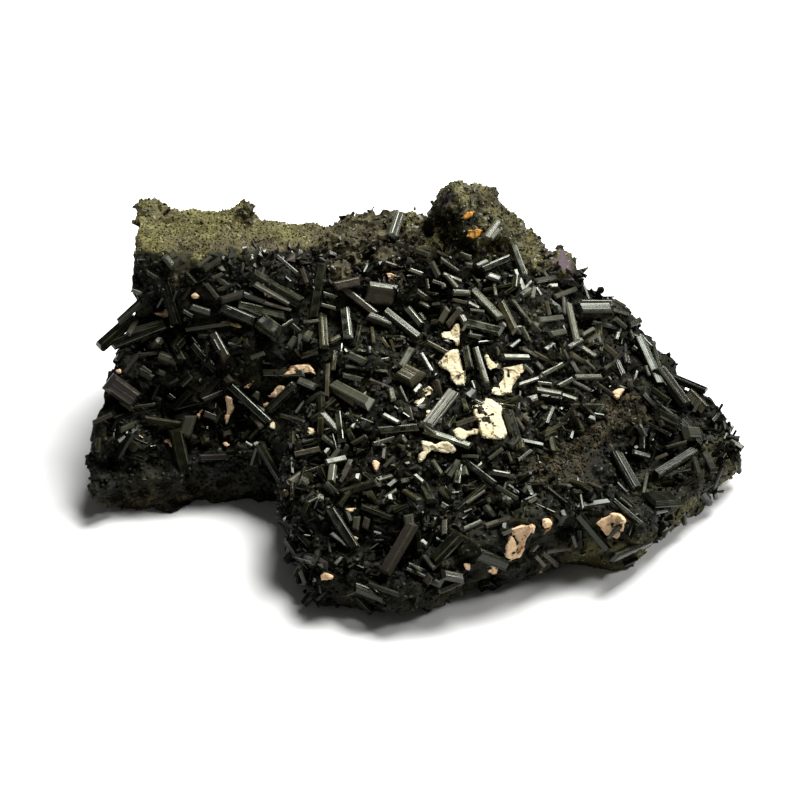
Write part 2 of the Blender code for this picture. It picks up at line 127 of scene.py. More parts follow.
BREAKS = (
    (-41.0, 35.0, 27.0, 96.0, 6.0, 15.0), (-20.0, 33.5, 25.0, 84.0, -7.0, 13.0),
    (-32.0, 34.0, 7.0, 92.0, -14.0, 12.0), (-3.0, 34.0, 28.0, 99.0, 10.0, 13.0),
    (-10.0, 34.5, 8.0, 80.0, -8.0, 11.0), (14.0, 34.5, 31.0, 84.0, 9.0, 13.0),
    (12.0, 33.5, 11.0, 96.0, -9.0, 13.0), (30.0, 31.5, 13.0, 66.0, 8.0, 13.0),
    (46.0, 21.5, 9.0, 48.0, 12.0, 12.0),
    (-52.8, 27.0, 28.0, 176.0, 2.0, 12.0), (-52.0, 30.0, 8.0, 190.0, -9.0, 11.0),
    (-61.4, 0.0, 7.0, 176.0, 5.0, 9.0), (-40.0, 27.0, 43.4, 100.0, 86.0, 12.0),
    (-25.0, 24.0, 39.2, 60.0, 84.0, 11.0), (-46.0, -13.8, 3.0, 258.0, -5.0, 10.0),
    (15.0, 33.0, 47.0, 80.0, 52.0, 7.0), (-18.0, -34.0, 6.0, 196.0, 5.0, 9.0),
)
SHELF_FRONT = 15.0
SHELF_RIGHT = -4.0
SHELF_FLOOR = 33.0

# Crystals with a place of their own: middle, heading, tilt, length, width, thickness

LARGE_CRYSTALS = (
    (-24.7, 14.8, 34.7, -19, -24, 12.5, 2.8, 2.3), (-45.5, 11.9, 33.1, -57, -60, 9.0, 2.2, 1.6),
    (-25.7, 8.2, 29.2, -42, -10, 6.5, 3.6, 3.0), (-51.9, 9.1, 27.4, 18, 14, 12.5, 2.4, 1.8),
    (-16.5, 15.4, 33.4, 76, 50, 12.0, 2.2, 1.6), (-10.4, 9.8, 29.2, -84, -14, 8.5, 2.2, 1.8),
    (-3.8, 14.4, 33.6, -7, -5, 6.5, 4.6, 1.4), (0.4, 8.4, 30.1, -45, -10, 10.5, 1.9, 1.5),
    (17.2, 9.3, 34.2, -56, -8, 10.5, 1.9, 1.5), (2.0, -3.6, 26.3, -34, -6, 6.0, 4.0, 3.4),
    (-9.1, -6.4, 23.7, -48, 8, 12.5, 2.8, 2.4), (34.2, 11.6, 28.3, -83, -10, 11.0, 1.5, 1.2),
    (38.8, 17.2, 26.9, 15, -10, 8.0, 3.2, 2.6), (54.3, 6.1, 16.2, -41, -38, 10.5, 2.8, 2.2),
    (58.0, -2.4, 11.9, -43, -26, 7.0, 4.4, 1.5), (43.5, -17.3, 13.8, -63, -22, 9.5, 2.6, 1.8),
    (54.1, -11.0, 10.6, 42, 0, 12.0, 2.1, 1.6), (45.0, -27.0, 11.5, -15, -40, 11.0, 2.3, 1.8),
    (-43.5, -6.5, 9.6, -70, -51, 10.0, 3.0, 2.6), (-55.2, 1.0, 19.6, -8, -40, 7.5, 4.0, 3.2),
    (7.6, -12.0, 24.4, 57, 12, 11.0, 2.7, 2.2), (-10.8, -33.8, 13.8, -53, -28, 10.0, 2.0, 1.5),
    (0.1, -38.2, 12.4, 52, 36, 11.5, 2.6, 2.2), (15.1, -23.2, 18.6, -47, -6, 9.5, 1.5, 1.2),
)
# Tones of the large crystals: their own colours, and the palest ones partly painted highlights where a
# crystal catches the light.
LARGE_TONES_AND_HIGHLIGHTS = (
    0.50, 0.30, 0.25, 0.45, 0.40, 0.40, 0.80, 0.35, 0.66, 0.76, 0.96, 1.00,
    0.10, 0.90, 0.42, 0.45, 0.30, 0.50, 0.55, 0.86, 0.88, 0.30, 0.84, 0.35,
)
MARKED_CRYSTALS = (
    (-27.5, 11.6, 31.2, -6, -12, 10.5, 2.2, 1.6), (-32.1, 10.5, 31.2, -19, -15, 8.0, 2.2, 1.6),
    (-35.6, 6.5, 26.2, -57, -28, 7.0, 2.1, 1.6), (-56.2, 9.1, 27.5, 40, 22, 10.0, 2.6, 2.0),
    (-10.6, 15.9, 34.9, 13, 6, 6.0, 2.0, 1.6), (-8.0, 14.0, 32.0, -35, -22, 9.0, 1.6, 1.3),
    (-15.4, 8.3, 28.4, -86, -12, 9.5, 2.0, 1.6), (16.6, 4.5, 32.3, -23, 0, 8.0, 2.1, 1.7),
    (19.0, 18.5, 37.9, 29, 6, 7.0, 1.6, 1.3), (23.5, 19.8, 37.6, -73, -20, 8.5, 1.7, 1.3),
    (50.3, 10.5, 19.2, -70, -20, 13.0, 2.2, 1.8), (59.5, 5.6, 12.9, -44, -24, 6.0, 3.2, 1.3),
    (57.8, 8.6, 15.2, -11, -20, 9.0, 1.8, 1.4), (52.2, -4.4, 15.8, -11, -24, 6.5, 3.2, 2.6),
    (36.5, -31.6, 11.3, -20, -48, 10.0, 1.7, 1.4), (44.0, -32.2, 7.5, 45, -14, 12.0, 2.1, 1.6),
    (50.0, -23.5, 11.7, 37, -24, 8.0, 5.0, 1.6), (-29.7, -0.6, 17.4, -41, -20, 12.0, 1.8, 1.4),
    (-23.7, -0.7, 18.4, 11, 45, 11.0, 2.2, 1.7), (-22.9, 2.6, 22.6, -17, 12, 9.5, 1.7, 1.3),
    (-0.3, -15.7, 23.1, 3, 4, 8.5, 1.8, 1.2), (9.1, -17.8, 22.4, -20, -8, 10.0, 1.5, 1.2),
    (5.2, -28.0, 16.6, -73, 4, 6.5, 2.1, 1.7), (13.3, -29.2, 16.9, 43, 14, 8.5, 1.4, 1.1),
    (16.4, -35.6, 15.6, 13, 10, 9.5, 1.5, 1.2), (8.8, -39.6, 13.3, 38, 28, 8.0, 2.9, 2.2),
    (17.0, -39.6, 11.6, 10, -32, 8.0, 2.6, 2.0), (-3.0, -44.5, 6.2, -7, -22, 11.5, 2.0, 1.6),
    (4.8, -42.3, 9.3, -27, -6, 8.0, 2.4, 1.9),
)
PRISM_SHARE_BURIED = 0.25
ROOF_SLOPE = 0.6
COAT_SEED = 11
COAT_COUNT = 56
COAT_SPACING = 6.4
COAT_LENGTH = (9.0, 14.0)
COAT_WIDTH = (2.2, 3.4)
COAT_FLATNESS = (0.55, 0.85)
CLEAR_OF_LARGE = 4.5
CLEAR_OF_PALE = 4.0
RIM_CLEARANCE = 0.4
TIP_RISE = 2.6
JACKSTRAW_TRIES = 12
TRIES_PER_POINT = 60

# Pale mineral: middle, heading, tilt and half sizes

PALE_PATCHES = (
    (10.9, -1.4, 27.9, -87, -32, 4.0, 2.1, 1.9), (21.6, -4.4, 25.9, 53, 10, 5.4, 1.8, 1.7),
    (17.6, -14.0, 24.6, -88, -14, 5.2, 3.2, 2.0), (7.5, -19.4, 21.8, 5, 2, 4.0, 1.6, 1.6),
    (21.5, -37.6, 13.9, 37, 60, 4.0, 1.9, 1.6), (40.4, -31.9, 13.2, -2, -27, 3.2, 2.4, 1.6),
    (-20.1, 2.0, 23.6, 1, 14, 3.6, 1.4, 1.5), (-32.4, -0.4, 16.1, -82, -60, 3.3, 1.3, 1.4),
)

# The photograph's camera, by which small bits are placed

PHOTO_SIZE = 800
CAMERA_TARGET = Vector((0.0, 0.0, 0.018))
CAMERA_DISTANCE = 0.48
CAMERA_TILT = math.radians(38.0)
CAMERA_LENS = 109.0
CAMERA_SENSOR = 36.0
CAMERA_BACK = Vector((0.0, -math.cos(CAMERA_TILT), math.sin(CAMERA_TILT)))
CAMERA_RIGHT = Vector((1.0, 0.0, 0.0))
CAMERA_UP = CAMERA_BACK.cross(CAMERA_RIGHT)
CAMERA_PLACE = CAMERA_TARGET + CAMERA_BACK * CAMERA_DISTANCE


# Finishes


class NodeDesk:
    """Adds and links the nodes of one material or tree."""

    def __init__(self, tree):
        self.tree = tree

    def add(self, kind, inputs=None, **settings):
        node = self.tree.nodes.new(kind)
        for name, value in settings.items():
            setattr(node, name, value)
        for name, value in (inputs or {}).items():
            self.feed(value, node, name)
        return node

    def feed(self, value, node, name):
        """Sets an input, or links it where the value is another node's output."""
        target = self.find(node.inputs, name)
        if isinstance(value, bpy.types.Node):
            value = next(s for s in value.outputs if s.enabled)
        if isinstance(value, bpy.types.NodeSocket):
            self.tree.links.new(value, target)
        else:
            target.default_value = value

    @staticmethod
    def find(sockets, name):
        if isinstance(name, int):
            return sockets[name]
        return next(s for s in sockets if s.enabled and s.name == name)


def new_material(name):
    material = bpy.data.materials.new(name)
    material.use_nodes = True
    desk = NodeDesk(material.node_tree)
    return material, desk, material.node_tree.nodes["Principled BSDF"]


def ramp(desk, factor, stops):
    """A colour ramp through (place, colour) stops."""
    node = desk.add("ShaderNodeValToRGB", {"Fac": factor})
    elements = node.color_ramp.elements
    while len(elements) < len(stops):
        elements.new(0.5)
    for element, (place, colour) in zip(elements, stops):
        element.position = place
        element.color = (*colour, 1.0)
    return node.outputs["Color"]


def mixed(desk, factor, a, b):
    """Goes from colour a to colour b as the factor goes from 0 to 1."""
    node = desk.add("ShaderNodeMix", data_type="RGBA")
    for name, value in (("Factor", factor), ("A", a), ("B", b)):
        if isinstance(value, tuple):
            value = (*value, 1.0)
        desk.feed(value, node, name)
    return next(s for s in node.outputs if s.enabled)


def noise_at(desk, vector, scale, detail=3.0, roughness=0.55):
    values = {"Vector": vector, "Scale": scale, "Detail": detail, "Roughness": roughness}
    return desk.add("ShaderNodeTexNoise", values).outputs["Fac"]


def attribute(desk, name):
    return desk.add("ShaderNodeAttribute", attribute_name=name).outputs["Fac"]


def spread(desk, value, low, high, to_low=0.0, to_high=1.0):
    """Takes a value from one range to another, and keeps it inside."""
    values = {"Value": value, "From Min": low, "From Max": high, "To Min": to_low, "To Max": to_high}
    return desk.add("ShaderNodeMapRange", values).outputs["Result"]


def reckoned(desk, a, b, operation="MULTIPLY"):
    """The product of two values, or what another operation makes of them."""
    node = desk.add("ShaderNodeMath", operation=operation)
    desk.feed(a, node, 0)
    desk.feed(b, node, 1)
    return node.outputs[0]


CRYSTAL_TONES = (
    (0.00, (0.0010, 0.0013, 0.0010)),
    (0.34, (0.0026, 0.0032, 0.0023)),
    (0.52, (0.0070, 0.0079, 0.0050)),
    (0.66, (0.0240, 0.0225, 0.0085)),
    (0.76, (0.0560, 0.0440, 0.0230)),
    (0.86, (0.0520, 0.0410, 0.0400)),
    (0.92, (0.0400, 0.0420, 0.0310)),
    (1.00, (0.1250, 0.1220, 0.0900)),
)
STREAK_COLOUR = (0.024, 0.022, 0.010)
FILM_COLOUR = (0.088, 0.084, 0.036)
# Paler edge colour: partly real wear, partly a painted highlight.
WORN_EDGE_AND_HIGHLIGHT_COLOUR = (0.115, 0.112, 0.048)
SHADED_COLOUR = (0.0012, 0.0013, 0.0010)
# Painted shade and lower gloss for prism parts close to the rock.
NEAR_ROCK_SHADE_COLOUR = (0.0016, 0.0015, 0.0008)
NEAR_ROCK_SHADE_GLOSS = (0.02, 0.02, 0.02)
EPIDOTE_IOR = 1.74
ROCK_IOR = 1.6
SILVERY = (0.93, 1.0, 0.86, 1.0)
DUST_AND_SHADE_MIDDLE = (0.008, 0.0, 0.028)


def dust_and_shade_at(desk, place):
    """1 in the middle of the coat, where crumbs and a dull film lie, and less towards the ends, where it
    paints shade on the crystals and grains and thins the film.
    """
    away = desk.add("ShaderNodeVectorMath", operation="DISTANCE")
    desk.feed(place, away, 0)
    desk.feed(DUST_AND_SHADE_MIDDLE, away, 1)
    return spread(desk, away.outputs["Value"], 0.012, 0.048, 1.0, 0.25)


def crystal_finish(name, dust):
    """Glassy green-black prism faces, grooved along their length, with paler edges that are partly wear and
    partly a painted highlight, dust, and painted shade towards the ends of the coat and where a prism lies
    close to the rock.
    """
    material, desk, shader = new_material(name)
    uv = desk.add("ShaderNodeUVMap", uv_map="UVMap").outputs["UV"]
    place = desk.add("ShaderNodeTexCoord").outputs["Object"]
    grooves = desk.add("ShaderNodeMapping", {"Vector": uv, "Scale": (24.0, 0.4, 1.0)})
    streaks = noise_at(desk, grooves, 1.0, 3.0, 0.6)
    body = ramp(desk, attribute(desk, "tone"), CRYSTAL_TONES)
    streaked = mixed(desk, spread(desk, streaks, 0.50, 0.75, 0.0, 0.25), body, STREAK_COLOUR)
    dust_and_shade = dust_and_shade_at(desk, place)
    film = spread(desk, noise_at(desk, place, 600.0, 4.0), 0.44, 0.66, 0.0, dust)
    film = reckoned(desk, film, dust_and_shade)
    dusted = mixed(desk, film, streaked, FILM_COLOUR)
    # Paler edges: partly real wear and partly a painted highlight along the prism edges.
    wear = spread(desk, noise_at(desk, place, 450.0), 0.38, 0.6, 0.15, 0.85)
    worn_and_highlit_edges = mixed(desk, reckoned(desk, attribute(desk, "edge"), wear), dusted, WORN_EDGE_AND_HIGHLIGHT_COLOUR)
    # Painted shade: the crystals are mixed towards near black away from the middle of the coat.
    shaded = mixed(desk, spread(desk, dust_and_shade, 0.25, 1.0, 0.55, 0.0), worn_and_highlit_edges, SHADED_COLOUR)
    # Painted shade: prism parts close to the rock are darkened and lose gloss.
    sunk = reckoned(desk, attribute(desk, "sunk"), spread(desk, dust_and_shade, 0.25, 1.0, 0.8, 0.45))
    desk.feed(mixed(desk, sunk, shaded, NEAR_ROCK_SHADE_COLOUR), shader, "Base Color")
    rough = spread(desk, noise_at(desk, place, 300.0, 2.0), 0.35, 0.7, 0.13, 0.30)
    desk.feed(reckoned(desk, rough, reckoned(desk, film, 0.6), "ADD"), shader, "Roughness")
    shader.inputs["IOR"].default_value = EPIDOTE_IOR
    gloss = spread(desk, dust_and_shade, 0.25, 1.0, 0.18, 0.42)
    desk.feed(mixed(desk, sunk, gloss, NEAR_ROCK_SHADE_GLOSS), shader, "Specular IOR Level")
    shader.inputs["Specular Tint"].default_value = SILVERY
    relief = reckoned(desk, streaks, reckoned(desk, noise_at(desk, place, 1300.0, 2.0), 0.12), "ADD")
    bump = desk.add("ShaderNodeBump", {"Strength": 0.15, "Distance": 0.0001, "Height": relief})
    desk.feed(bump, shader, "Normal")
    return material


SHELF_BROWN = (0.074, 0.060, 0.036)
LUMP_BROWN = (0.100, 0.087, 0.050)
SHARD_BROWN = (0.050, 0.040, 0.032)
SPECK_COLOUR = (0.036, 0.034, 0.014)
LAYER_COLOUR = (0.036, 0.032, 0.013)
BOSS_COLOUR = (0.080, 0.058, 0.064)
# Painted shade in the rock's hollows.
HOLLOW_SHADE_COLOUR = (0.0008, 0.0008, 0.0006)


def brown_at(desk, place):
    """Where the granular rock is browner: in patches, and more to the right."""
    across = desk.add("ShaderNodeSeparateXYZ", {"Vector": place}).outputs["X"]
    rightwards = spread(desk, across, -0.040, -0.008, 0.0, 0.16)
    greyer = spread(desk, across, 0.0, 0.010, 0.0, -0.14)
    shift = reckoned(desk, rightwards, greyer, "ADD")
    patches = reckoned(desk, noise_at(desk, place, 75.0, 4.0, 0.65), shift, "ADD")
    return spread(desk, patches, 0.50, 0.68, 0.0, 0.8)


def rock_finish():
    """Dark massive epidote, yellow-green and sugary on the shelf, with brown, ochre and plum places, and its
    hollows painted near black as shade.
    """
    material, desk, shader = new_material("granular_epidote")
    place = desk.add("ShaderNodeTexCoord").outputs["Object"]
    broad = noise_at(desk, place, 130.0, 4.0)
    middle = noise_at(desk, place, 480.0, 4.0)
    cells = desk.add("ShaderNodeTexVoronoi", {"Vector": place, "Scale": 1700.0, "Randomness": 1.0})
    speck = desk.add("ShaderNodeSeparateColor", {"Color": cells.outputs["Color"]})
    grain = speck.outputs["Red"]
    dark = ramp(desk, broad, (
        (0.30, (0.0012, 0.0013, 0.0008)), (0.52, (0.0042, 0.0043, 0.0020)), (0.70, (0.0190, 0.0185, 0.0075)),
    ))
    dark = mixed(desk, spread(desk, grain, 0.6, 1.0, 0.0, 0.3), dark, SPECK_COLOUR)
    sugar = ramp(desk, reckoned(desk, reckoned(desk, middle, 0.5), reckoned(desk, grain, 0.35), "ADD"), (
        (0.18, (0.050, 0.046, 0.016)),
        (0.30, (0.085, 0.078, 0.026)),
        (0.42, (0.115, 0.105, 0.035)),
        (0.58, (0.160, 0.146, 0.052)),
    ))
    sugar = mixed(desk, brown_at(desk, place), sugar, SHELF_BROWN)
    layers = desk.add("ShaderNodeMapping", {"Vector": place, "Scale": (0.45, 1.0, 3.0)})
    layer = spread(desk, noise_at(desk, layers, 420.0, 4.0, 0.65), 0.36, 0.50, 0.55, 0.0)
    sugar = mixed(desk, layer, sugar, LAYER_COLOUR)
    grit = ramp(desk, reckoned(desk, middle, reckoned(desk, grain, 0.35), "ADD"), (
        (0.40, (0.007, 0.006, 0.003)),
        (0.62, (0.020, 0.016, 0.007)),
        (0.85, (0.052, 0.042, 0.018)),
    ))
    ochre = ramp(desk, middle, (
        (0.35, (0.16, 0.070, 0.012)), (0.6, (0.36, 0.180, 0.036)), (0.8, (0.45, 0.30, 0.13)),
    ))
    plum = ramp(desk, broad, ((0.35, (0.020, 0.016, 0.015)), (0.65, (0.070, 0.055, 0.055))))
    base = mixed(desk, attribute(desk, "sugary"), dark, sugar)
    lump = mixed(desk, spread(desk, grain, 0.2, 0.8, 0.85, 0.15), sugar, LUMP_BROWN)
    share = spread(desk, middle, 0.38, 0.60, 0.15, 0.95)
    base = mixed(desk, reckoned(desk, attribute(desk, "lump"), share), base, lump)
    base = mixed(desk, attribute(desk, "gritty"), base, grit)
    base = mixed(desk, attribute(desk, "ochre"), base, ochre)
    base = mixed(desk, attribute(desk, "plum"), base, plum)
    base = mixed(desk, attribute(desk, "boss"), base, BOSS_COLOUR)
    # Painted shade: the hollows are coloured near black.
    base = mixed(desk, attribute(desk, "hollow"), base, HOLLOW_SHADE_COLOUR)
    desk.feed(base, shader, "Base Color")
    glint = spread(desk, speck.outputs["Green"], 0.90, 0.93, 0.0, 1.0)
    desk.feed(spread(desk, glint, 0.0, 1.0, 0.72, 0.25), shader, "Roughness")
    shader.inputs["IOR"].default_value = ROCK_IOR
    shader.inputs["Specular IOR Level"].default_value = 0.1
    relief = reckoned(desk, reckoned(desk, grain, 0.5), noise_at(desk, place, 900.0, 4.0), "ADD")
    bump = desk.add("ShaderNodeBump", {"Strength": 0.8, "Distance": 0.00025, "Height": relief})
    desk.feed(bump, shader, "Normal")
    return material


def grain_finish(name, stops, roughness, gloss, brown=None):
    """Small grains or shards, each of its own colour, with brown places or else painted shade towards the
    ends.
    """
    material, desk, shader = new_material(name)
    place = desk.add("ShaderNodeTexCoord").outputs["Object"]
    colour = ramp(desk, attribute(desk, "tone"), stops)
    shade = spread(desk, noise_at(desk, place, 1200.0, 2.0), 0.3, 0.7, 0.6, 1.0)
    if brown:
        colour = mixed(desk, brown_at(desk, place), colour, brown)
    else:
        # Painted shade: the grains darken away from the middle of the coat.
        shade = reckoned(desk, shade, spread(desk, dust_and_shade_at(desk, place), 0.25, 1.0, 0.45, 1.0))
    desk.feed(mixed(desk, shade, (0.003, 0.003, 0.002), colour), shader, "Base Color")
    shader.inputs["Roughness"].default_value = roughness
    shader.inputs["IOR"].default_value = ROCK_IOR
    shader.inputs["Specular IOR Level"].default_value = gloss
    shader.inputs["Specular Tint"].default_value = SILVERY
    return material


def pale_finish(name, pale, stain):
    """Dull, crumbly mineral, stained in its hollows."""
    material, desk, shader = new_material(name)
    place = desk.add("ShaderNodeTexCoord").outputs["Object"]
    broad = noise_at(desk, place, 420.0, 4.0)
    fine = noise_at(desk, place, 1600.0, 4.0)
    base = mixed(desk, spread(desk, broad, 0.50, 0.72, 0.0, 0.8), pale, stain)
    base = mixed(desk, spread(desk, fine, 0.50, 0.75, 0.0, 0.35), base, tuple(0.6 * c for c in stain))
    base = mixed(desk, attribute(desk, "hollow"), base, tuple(0.35 * c for c in stain))
    desk.feed(base, shader, "Base Color")
    shader.inputs["Roughness"].default_value = 0.9
    shader.inputs["Specular IOR Level"].default_value = 0.15
    height = reckoned(desk, fine, reckoned(desk, broad, 0.6), "ADD")
    bump = desk.add("ShaderNodeBump", {"Strength": 0.8, "Distance": 0.0002, "Height": height})
    desk.feed(bump, shader, "Normal")
    return material


# Mesh helpers


def add_object(name, mesh, material=None):
    obj = bpy.data.objects.new(name, mesh)
    bpy.context.scene.collection.objects.link(obj)
    if material:
        obj.data.materials.clear()
        obj.data.materials.append(material)
    return obj


def mesh_from(bm, name):
    mesh = bpy.data.meshes.new(name)
    bm.to_mesh(mesh)
    bm.free()
    return mesh


def applied(obj):
    """Replaces the object's mesh by what its modifiers make of it."""
    graph = bpy.context.evaluated_depsgraph_get()
    obj.data = bpy.data.meshes.new_from_object(obj.evaluated_get(graph))
    obj.modifiers.clear()
    return obj


def give_attribute(mesh, name, values):
    found = mesh.attributes.get(name) or mesh.attributes.new(name, "FLOAT", "POINT")
    found.data.foreach_set("value", np.asarray(values, dtype=np.float32))


def heading_and_tilt(heading, tilt):
    level = math.cos(math.radians(tilt))
    turn = math.radians(heading)
    return Vector((level * math.cos(turn), level * math.sin(turn), math.sin(math.radians(tilt))))


def smooth_step(value, low, high):
    share = min(1.0, max(0.0, (value - low) / (high - low)))
    return share * share * (3 - 2 * share)


# The block


def reach(angle):
    """Distance from the origin to the plan outline, along an angle."""
    way = Vector((math.cos(angle), math.sin(angle)))
    for start, end in zip(OUTLINE, OUTLINE[1:] + OUTLINE[:1]):
        a, b = Vector(start), Vector(end)
        side = b - a
        facing = way.x * side.y - way.y * side.x
        if abs(facing) < 1e-9:
            continue
        along = (a.x * side.y - a.y * side.x) / facing
        share = (a.x * way.y - a.y * way.x) / facing
        if along > 0 and -1e-6 <= share <= 1 + 1e-6:
            return along
    return 0.0


def top_height(x, y):
    """Height of the rock's top surface: nearby height points count most."""
    total = weight = 0.0
    for px, py, pz in HEIGHTS:
        near = 1.0 / (math.hypot(x - px, y - py) ** HEIGHT_FOCUS + HEIGHT_SOFTNESS**HEIGHT_FOCUS)
        total += near * pz
        weight += near
    return total / weight


def rock_point(u, v, w):
    """Where a point of the unit cage goes: its top is the top surface, its sides are the walls."""
    radius = max(abs(u), abs(v))
    angle = math.atan2(v, u)
    rim = reach(angle)
    if w > 1 - 1e-6:
        spread_out = radius * 0.985
        x, y = spread_out * rim * math.cos(angle), spread_out * rim * math.sin(angle)
        return Vector((x, y, top_height(x, y)))
    if w < -1 + 1e-6:
        spread_out = radius * UNDERCUT
        x, y = spread_out * rim * math.cos(angle), spread_out * rim * math.sin(angle)
        return Vector((x, y, -BELLY_DEPTH * (1 - radius**6)))
    share = (w + 1) / 2
    x, y = rim * math.cos(angle), rim * math.sin(angle)
    z = share * top_height(x, y)
    tuck = UNDERCUT + (1 - UNDERCUT) * min(1.0, z / TUCK_HEIGHT)
    return Vector((x * tuck, y * tuck, z))


def roughness_at(point):
    """How far the broken surface stands out at a point, in millimetres."""
    lumps = noise.noise(point / LUMP_WAVE) * 2 * LUMP_RISE
    chips = noise.noise(point / CHIP_WAVE + Vector((7.0, 3.0, 1.0))) * 2 * CHIP_RISE
    return lumps + chips


def broken_off(point):
    """Lays a point back onto the flat breaks that it stands out past."""
    for x, y, z, heading, tilt, run in BREAKS:
        from_middle = point - Vector((x, y, z))
        facing = heading_and_tilt(heading, tilt)
        past = from_middle.dot(facing)
        if past > 0 and from_middle.length < run:
            point = point - facing * past
    return point


def evened(obj, size):
    """Gives the surface faces of one size, with no folds."""
    remesh = obj.modifiers.new("even", "REMESH")
    remesh.mode = "VOXEL"
    remesh.voxel_size = size * MM
    return applied(obj)


def rock_form():
    """The block's form, made once: the mesh that the crystals are laid on and the rock is worked from."""
    if FORM_NAME in bpy.data.meshes:
        return bpy.data.meshes[FORM_NAME]
    bm = bmesh.new()
    bmesh.ops.create_cube(bm, size=2.0)
    bmesh.ops.subdivide_edges(bm, edges=bm.edges, cuts=CAGE_CUTS, use_grid_fill=True)
    for vert in bm.verts:
        vert.co = rock_point(*vert.co) * MM
    rock = add_object("rock_blank", mesh_from(bm, "rock_blank"))
    evened(rock, REMESH_SIZE)
    normals = [vert.normal.copy() for vert in rock.data.vertices]
    for vert, normal in zip(rock.data.vertices, normals):
        point = vert.co / MM
        vert.co = broken_off(point + normal * roughness_at(point)) * MM
    evened(rock, REMESH_SIZE)
    form = rock.data
    form.name = FORM_NAME
    form.use_fake_user = True
    bpy.data.objects.remove(rock)
    return form


def tree_of(mesh):
    bm = bmesh.new()
    bm.from_mesh(mesh)
    tree = BVHTree.FromBMesh(bm)
    bm.free()
    return tree


def photo_ray(x, y):
    """Start and direction of the sight line through a pixel of the photograph."""
    half = PHOTO_SIZE / 2
    side = (x - half) / PHOTO_SIZE * CAMERA_SENSOR / CAMERA_LENS
    rise = (half - y) / PHOTO_SIZE * CAMERA_SENSOR / CAMERA_LENS
    return CAMERA_PLACE, (CAMERA_RIGHT * side + CAMERA_UP * rise - CAMERA_BACK).normalized()


def seen_at(tree, x, y):
    """The point of the block that shows at a pixel, and its normal there, in millimetres."""
    start, way = photo_ray(x, y)
    point, normal, _, _ = tree.ray_cast(start, way)
    if point is None:
        raise ValueError(f"pixel {x}, {y} misses the block")
    return point / MM, normal


# Where things grow

SPOTS = {
    "ochre": ((450, 212, 1.0), (452, 236, 1.1), (524, 223, 1.3), (551, 525, 1.2), (605, 408, 1.0)),
    "plum": ((606, 306, 2.4), (444, 199, 2.4)),
    "bare": ((182, 259, 3.4), (212, 260, 2.4), (620, 560, 3.0)),
    "lump": (
        (160, 213, 3.8), (246, 211, 2.2), (362, 222, 3.6), (377, 232, 3.0), (346, 232, 2.8), (328, 238, 2.2),
        (398, 222, 2.6), (412, 232, 2.4), (430, 222, 2.4),
        (352, 246, 3.6), (341, 270, 3.0), (386, 256, 3.2), (366, 264, 3.0), (396, 282, 2.2),
    ),
    "boss": ((557, 268, 4.0),),
    "hollow": (
        (446, 226, 3.4), (450, 242, 2.8), (428, 232, 2.2), (484, 250, 2.4), (462, 247, 2.6), (473, 253, 2.4),
        (498, 248, 2.0), (437, 217, 2.2),
    ),
}
GRIT_LINE = ((545, 470), (575, 450), (600, 428), (632, 405))
GRIT_WIDTH = 4.6
GRIT_MARGIN = 9.0


def shelf_edge(x):
    """How far back the granular shelf's front edge is: it runs slantwise."""
    return min(25.0, max(16.5, 16.5 + 0.42 * (x + 42.0)))


def on_knob(point):
    """1 on the bare rock of the knob and its right flank."""
    uneven = noise.noise(point / 5.0) * 3.0
    east = smooth_step(point.x + uneven, 0.0, 4.0) * (1.0 - smooth_step(point.x, 33.0, 36.0))
    return east * smooth_step(point.y + uneven, 19.5, 22.5) * smooth_step(point.z, 29.0, 32.0)


def sugary_at(point, normal):
    """1 on the granular yellow-green shelf and on worn spots of the knob and the back, 0 on dark rock."""
    shape = noise.noise(point / 6.0 + Vector((3.0, 9.0, 2.0)))
    shelf = smooth_step(point.y + shape * 4.0 - shelf_edge(point.x), -1.0, 1.5)
    shelf *= smooth_step(normal.z, 0.15, 0.5)
    shelf *= 1.0 - smooth_step(point.x + shape * 8.0, -16.0, -6.0) * 0.6
    shelf *= smooth_step(point.z, 32.0, 35.0) * (1.0 - smooth_step(point.x, 0.0, 4.0))
    knob = on_knob(point) * (0.6 + shape)
    behind = smooth_step(point.y, 24.0, 30.0) * smooth_step(shape, 0.02, 0.22)
    behind *= smooth_step(point.z, 22.0, 34.0) * 0.8
    rim = smooth_step(point.x + point.y * -0.9, 56.0, 64.0) * (1.0 - smooth_step(point.z, 7.0, 11.0)) * 0.45
    return min(1.0, max(shelf, knob, behind, rim))


def line_distance(point, line):
    best = 1e9
    for a, b in zip(line, line[1:]):
        side = b - a
        share = min(1.0, max(0.0, (point - a).dot(side) / side.length_squared))
        best = min(best, (point - a - side * share).length)
    return best


def gritty_at(point, line):
    """1 on the brown gritty strip along a line, and in patches at the left foot."""
    shape = noise.noise(point / 3.0)
    strip = 1.0 - smooth_step(line_distance(point, line) + shape * 3.0, GRIT_WIDTH * 0.5, GRIT_WIDTH)
    foot = (1.0 - smooth_step(point.z + shape * 3.0, 4.0, 8.0)) * (1.0 - smooth_step(point.x, -42.0, -30.0))
    return max(strip, foot * (0.6 + 1.5 * shape))


def spot_at(point, spots):
    """How far inside a spot a point lies, 0 to 1, with an uneven edge."""
    shape = 1.0 + noise.noise(point / 1.6) * 0.7
    return max(1.0 - smooth_step((point - spot).length * shape, size * 0.75, size) for spot, size in spots)


def grit_line(tree):
    return [seen_at(tree, *pixel)[0] for pixel in GRIT_LINE]


def spots_on(tree):
    return {name: [(seen_at(tree, x, y)[0], size) for x, y, size in spots] for name, spots in SPOTS.items()}


# The rock


def facet_rise(point, wave, rise):
    """Flat chips of broken rock: each cell of the pattern is a plane with a tilt of its own."""
    cell = noise.voronoi(point / wave)[1][0]
    tilt = noise.cell_vector(cell * 7.0) * 2.0 - Vector((1.0, 1.0, 1.0))
    return max(-1.0, min(1.0, (point / wave - cell).dot(tilt) * 1.6)) * rise


PIT_DEPTH = 1.3
LUMP_HEIGHT = 0.6
BOSS_HEIGHT = 2.6
HOLLOW_DEPTH = 2.4


